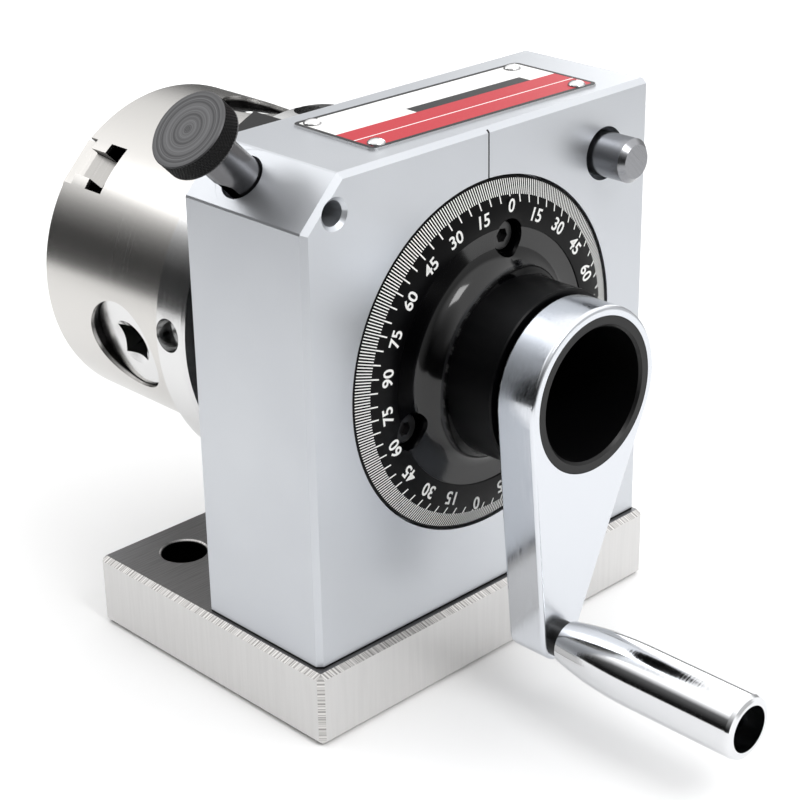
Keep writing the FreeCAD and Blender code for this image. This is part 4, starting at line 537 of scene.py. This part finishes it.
# Dial scale: one tree lays a row of ticks round the spindle axis, tilted with the bevel
def tick_tree():
    tree, given = new_tree("dial_ticks", [("Count", "Int"), ("Step", "Float"), ("First", "Float"),
                                          ("Radius", "Float"), ("Depth", "Float"), ("Tilt", "Float"),
                                          ("Width", "Float"), ("Height", "Float"), ("Length", "Float"),
                                          ("Ink", "Material")])
    index = add(tree, "GeometryNodeInputIndex")
    steps = add(tree, "ShaderNodeMath", [(0, index.outputs[0]), (1, given["Step"])], operation="MULTIPLY")
    angle = add(tree, "ShaderNodeMath", [(0, steps.outputs[0]), (1, given["First"])], operation="ADD")
    spot = add(tree, "ShaderNodeCombineXYZ", [("Y", given["Depth"]), ("Z", given["Radius"])])
    round_axis = add(tree, "ShaderNodeCombineXYZ", [("Y", angle.outputs[0])])
    place = add(tree, "ShaderNodeVectorRotate",
                [("Vector", spot.outputs[0]), ("Rotation", round_axis.outputs[0])], rotation_type="EULER_XYZ")
    points = add(tree, "GeometryNodePoints", [("Count", given["Count"]), ("Position", place.outputs[0])])
    turn = add(tree, "ShaderNodeCombineXYZ", [("X", given["Tilt"]), ("Y", angle.outputs[0])])
    size = add(tree, "ShaderNodeCombineXYZ",
               [("X", given["Width"]), ("Y", given["Height"]), ("Z", given["Length"])])
    bar = add(tree, "GeometryNodeMeshCube", [("Size", size.outputs[0])])
    return end_tree(tree, points.outputs[0], bar.outputs["Mesh"], turn.outputs[0], given["Ink"])


INK = 0.03 * MM
ON_SCALE = Matrix.Translation((0.0, BODY_FRONT, AXIS_HEIGHT)) @ Matrix.Rotation(SCALE_TURN, 4, "Y")
TICKS = tick_tree()


def ticks_between(count, step, first, inner, outer, width=0.25):
    """Ticks on the bevel from one radius to another, the angles in degrees and the sizes in millimetres."""
    middle = (inner + outer) / 2
    depth = FACE_HEIGHT - SLOPE * (middle - BEVEL_INNER)
    sizes = {"Count": count, "Step": math.radians(step), "First": math.radians(first), "Radius": middle * MM,
             "Depth": -depth * MM - INK * 0.4, "Tilt": -math.atan(SLOPE), "Width": width * MM, "Height": INK,
             "Length": (outer - inner) * math.hypot(1.0, SLOPE) * MM, "Ink": WHITE_INK}
    return grow(TICKS, sizes, ON_SCALE)


# Every degree, longer every five, and short again above each zero so that the figure has room
rows = [ticks_between(360, 1, 0, 36.6, 39.9), ticks_between(35, 5, 5, 35.0, 36.8, 0.32),
        ticks_between(35, 5, 185, 35.0, 36.8, 0.32), ticks_between(2, 180, 0, 36.2, 36.8, 0.32)]
keep(join(rows, "dial_graduations"), "dial_graduations", "spindle_group", WHITE_INK)


def figure(text, height):
    """A flat bold number as a mesh, upright in the plane of the dial and centred."""
    letters = bpy.data.curves.new("figure", "FONT")
    letters.body = text
    letters.align_x = "CENTER"
    letters.align_y = "CENTER"
    letters.size = height / 0.69
    letters.extrude = INK / 2
    letters.offset = height * 0.026
    letters.resolution_u = 3
    mesh = settled(held(letters))
    mesh.transform(Matrix.Rotation(math.radians(90.0), 4, "X"))
    return mesh


figures = []
for step in range(24):
    value = 15 * step % 180
    value = min(value, 180 - value)
    out = 34.2 if value == 0 else 32.5
    mesh = figure(str(value), 2.9 * MM)
    mesh.transform(ON_SCALE @ Matrix.Rotation(math.radians(15.0 * step), 4, "Y")
                   @ Matrix.Translation((0.0, -FACE_HEIGHT * MM - INK * 0.4, out * MM)))
    figures.append(mesh)
keep(join(figures, "dial_figures"), "dial_figures", "spindle_group", WHITE_INK)


# Plunger knob: diamond knurl round a thin disc with a plain land at each edge
KNOB_RADIUS = 8.95
KNOB_START = 80.1
KNOB_LENGTH = 5.0
KNURLS = 72


def knurl(angle, height):
    """Depth of two crossed sets of grooves, fading out at the lands."""
    turn = KNURLS * angle / (2 * math.pi)
    rise = (height - KNOB_START) * 0.74
    groove = max(0.5 + 0.5 * math.cos(2 * math.pi * cross) for cross in (turn + rise, turn - rise))
    return 0.24 * groove ** 1.5 if 0.3 < height - KNOB_START < KNOB_LENGTH - 0.3 else 0.0


rim = [(KNOB_RADIUS, KNOB_START + 0.25 + (KNOB_LENGTH - 0.5) * k / 30) for k in range(31)]
knob_outline = [(0.0, KNOB_START), (KNOB_RADIUS - 0.25, KNOB_START)] + rim
knob_outline += [(KNOB_RADIUS - 0.25, KNOB_START + KNOB_LENGTH), (0.0, KNOB_START + KNOB_LENGTH)]
knob = soften(turned(knob_outline, KNURLS * 6, "knurled_knob", knurl), math.radians(40.0))
knob.materials.append(KNURL_BLACK)
knob.materials.append(WORN_BLACK)
for face in knob.polygons:
    face.material_index = 1 if abs(face.normal.z) > 0.5 else 0
knob.transform(PLUNGER)
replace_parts(keep(knob, "knurled_knob", "plunger"), "plunger_knob")


# Name plate: a bare layout in three inks, with no words on it, and four dome rivets
PLATE_PLACE = (6.8 * MM, BODY_FRONT + 17.9 * MM, 128.5 * MM)
PLATE = Matrix.Translation(PLATE_PLACE) @ Matrix.Rotation(math.radians(-1.5), 4, "Z")
PLATE_X = 34.15
PLATE_Y = 12.95


def rounded(right, back, radius, left=None, front=None, square_back=False):
    """Corner points of a rectangle about the plate's middle, anticlockwise, with rounded corners."""
    left = -right if left is None else left
    front = -back if front is None else front
    points = []
    for x, y, start in ((right, back, 0), (left, back, 90), (left, front, 180), (right, front, 270)):
        if radius == 0.0 or (square_back and start < 180):
            points.append((x, y))
            continue
        centre_x = x - math.copysign(radius, x)
        centre_y = y - math.copysign(radius, y)
        for k in range(7):
            angle = math.radians(start + 15 * k)
            points.append((centre_x + radius * math.cos(angle), centre_y + radius * math.sin(angle)))
    return points


def printed(points, height, name, ink, hole=None):
    """A thin flat print with this outline, and a hole of as many points where one is given."""
    shape = bmesh.new()
    levels = (-0.02 * MM, height * MM)
    outer = [[shape.verts.new((x * MM, y * MM, z)) for x, y in points] for z in levels]
    inner = [[shape.verts.new((x * MM, y * MM, z)) for x, y in hole or ()] for z in levels]
    count = len(points)
    for k in range(count):
        n = (k + 1) % count
        shape.faces.new((outer[0][k], outer[0][n], outer[1][n], outer[1][k]))
        if hole:
            shape.faces.new((inner[0][n], inner[0][k], inner[1][k], inner[1][n]))
            shape.faces.new((outer[1][k], outer[1][n], inner[1][n], inner[1][k]))
            shape.faces.new((outer[0][n], outer[0][k], inner[0][k], inner[0][n]))
    if not hole:
        shape.faces.new(outer[1])
        shape.faces.new(outer[0][::-1])
    bmesh.ops.recalc_face_normals(shape, faces=shape.faces)
    mesh = bpy.data.meshes.new(name)
    shape.to_mesh(mesh)
    shape.free()
    mesh.transform(PLATE)
    keep(mesh, name, "base", ink)


printed(rounded(PLATE_X - 0.3, PLATE_Y - 0.3, 1.3), 0.02, "plate_field", WHITE_INK)
printed(rounded(PLATE_X - 0.3, -0.25, 1.3, front=0.3 - PLATE_Y, square_back=True), 0.03, "plate_band",
        RED_INK)
printed(rounded(PLATE_X - 0.6, -5.85, 0.0, front=-6.2), 0.04, "plate_rule", WHITE_INK)
printed(rounded(25.3, 3.3, 0.0, left=-9.9, front=-0.25), 0.03, "plate_strip", GREY_INK)
printed(rounded(PLATE_X - 0.1, PLATE_Y - 0.1, 1.5), 0.05, "plate_border", GREY_INK,
        rounded(PLATE_X - 1.0, PLATE_Y - 1.1, 0.7))


def rivet_tree():
    tree, given = new_tree("rivets", [("Across", "Float"), ("Along", "Float"), ("Ink", "Material")])
    corners = add(tree, "GeometryNodeMeshGrid", [("Size X", given["Across"]), ("Size Y", given["Along"])],
                  Vertices_X=2, Vertices_Y=2)
    ball = add(tree, "GeometryNodeMeshUVSphere", Segments=32, Rings=16, Radius=2.05 * MM)
    dome = add(tree, "GeometryNodeTransform", [("Geometry", ball.outputs["Mesh"])], Scale=(1.0, 1.0, 0.56))
    smooth = add(tree, "GeometryNodeSetShadeSmooth", [("Geometry", dome.outputs[0])])
    return end_tree(tree, corners.outputs["Mesh"], smooth.outputs[0], None, given["Ink"])


domes = grow(rivet_tree(), {"Across": 60.5 * MM, "Along": 20.1 * MM, "Ink": BRIGHT},
             PLATE @ Matrix.Translation((-0.8 * MM, -0.5 * MM, 0.0)))
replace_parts(keep(domes, "rivet_heads", "base"), "plate_rivets")


# Studio: pale floor, soft lights and the photograph's camera
def studio():
    floor_mesh = bpy.data.meshes.new("floor")
    size = 0.38
    corners = [(-size, -size, 0), (size, -size, 0), (size, size, 0), (-size, size, 0)]
    floor_mesh.from_pydata(corners, [], [(0, 1, 2, 3)])
    floor = bpy.data.objects.new("floor", floor_mesh)
    bpy.context.scene.collection.objects.link(floor)
    material, tree, shader = new_finish("pale_floor")
    shader.inputs["Base Color"].default_value = linear("FAFAFA")
    shader.inputs["Roughness"].default_value = 0.6
    floor_mesh.materials.append(material)
    world = bpy.data.worlds.new("studio")
    bpy.context.scene.world = world
    world.use_nodes = True
    tree = world.node_tree
    tree.nodes.clear()
    where = add(tree, "ShaderNodeTexCoord")
    parts = add(tree, "ShaderNodeSeparateXYZ", [("Vector", where.outputs["Generated"])])
    sky = add(tree, "ShaderNodeValToRGB", [("Fac", parts.outputs["Z"])])
    sky.color_ramp.elements[0].position = 0.12
    sky.color_ramp.elements[0].color = (0.06, 0.06, 0.06, 1)
    sky.color_ramp.elements[1].position = 0.50
    sky.color_ramp.elements[1].color = (1.0, 1.0, 1.0, 1)
    step = sky.color_ramp.elements.new(0.30)
    step.color = (0.42, 0.42, 0.42, 1)
    toned = sky.outputs["Color"]
    for toward, level, near, far in (
            ((-0.86, -0.50, 0.10), 0.2, 0.5, 0.9),
            ((-0.86, 0.46, 0.24), 0.1, 0.86, 0.96),
            ((0.30, 0.92, 0.26), 0.7, 0.85, 0.97)):
        side = add(tree, "ShaderNodeVectorMath", [(0, where.outputs["Generated"])], operation="DOT_PRODUCT")
        side.inputs[1].default_value = toward
        shade = spread(tree, side.outputs["Value"], 1.0, level, near, far)
        scaled = add(tree, "ShaderNodeVectorMath", [(0, toned), ("Scale", shade.outputs[0])],
                     operation="SCALE")
        toned = scaled.outputs[0]
    front = add(tree, "ShaderNodeVectorMath", [(0, where.outputs["Generated"])], operation="DOT_PRODUCT")
    front.inputs[1].default_value = (0.78, -0.62, 0.0)
    lift = spread(tree, front.outputs["Value"], 0.0, 0.45, 0.1, 0.9)
    lifted = add(tree, "ShaderNodeVectorMath", [(0, toned), (1, lift.outputs[0])], operation="MAXIMUM")
    ray = add(tree, "ShaderNodeLightPath")
    mixed = add(tree, "ShaderNodeMix", [("Factor", ray.outputs["Is Camera Ray"])], data_type="RGBA")
    tree.links.new(lifted.outputs[0], mixed.inputs[6])
    mixed.inputs[7].default_value = (1, 1, 1, 1)
    back = add(tree, "ShaderNodeBackground", [("Color", mixed.outputs[2])], Strength=1.5)
    add(tree, "ShaderNodeOutputWorld", [("Surface", back.outputs["Background"])])
    for name, spot, aim, width, power in (
            ("key", (-0.05, -0.75, 0.85), (0, 0, 0.07), 0.35, 3.0),
            ("back left", (-0.40, 0.66, 0.66), (0, 0, 0.07), 0.3, 0.45),
            ("back right", (0.82, 0.42, 0.33), (0, 0, 0.10), 0.35, 0.75)):
        lamp = bpy.data.lights.new(name, "AREA")
        lamp.size = width
        lamp.energy = power
        item = bpy.data.objects.new(name, lamp)
        bpy.context.scene.collection.objects.link(item)
        item.location = spot
        item.rotation_euler = (Vector(aim) - Vector(spot)).to_track_quat("-Z", "Y").to_euler()
    lens = bpy.data.cameras.new("camera")
    lens.lens = 91.02
    lens.sensor_width = 36.0
    lens.sensor_fit = "HORIZONTAL"
    lens.clip_start = 0.01
    camera = bpy.data.objects.new("camera", lens)
    bpy.context.scene.collection.objects.link(camera)
    right = Vector((0.71482, -0.69911, -0.01662))
    upward = Vector((0.30048, 0.28560, 0.91003))
    behind = Vector((-0.63146, -0.65551, 0.41422))
    turn = Matrix((right, upward, behind)).transposed().to_4x4()
    camera.matrix_world = Matrix.Translation((-0.2989, -0.3195, 0.2524)) @ turn
    bpy.context.scene.camera = camera
    bpy.context.scene.view_settings.view_transform = "Standard"


studio()
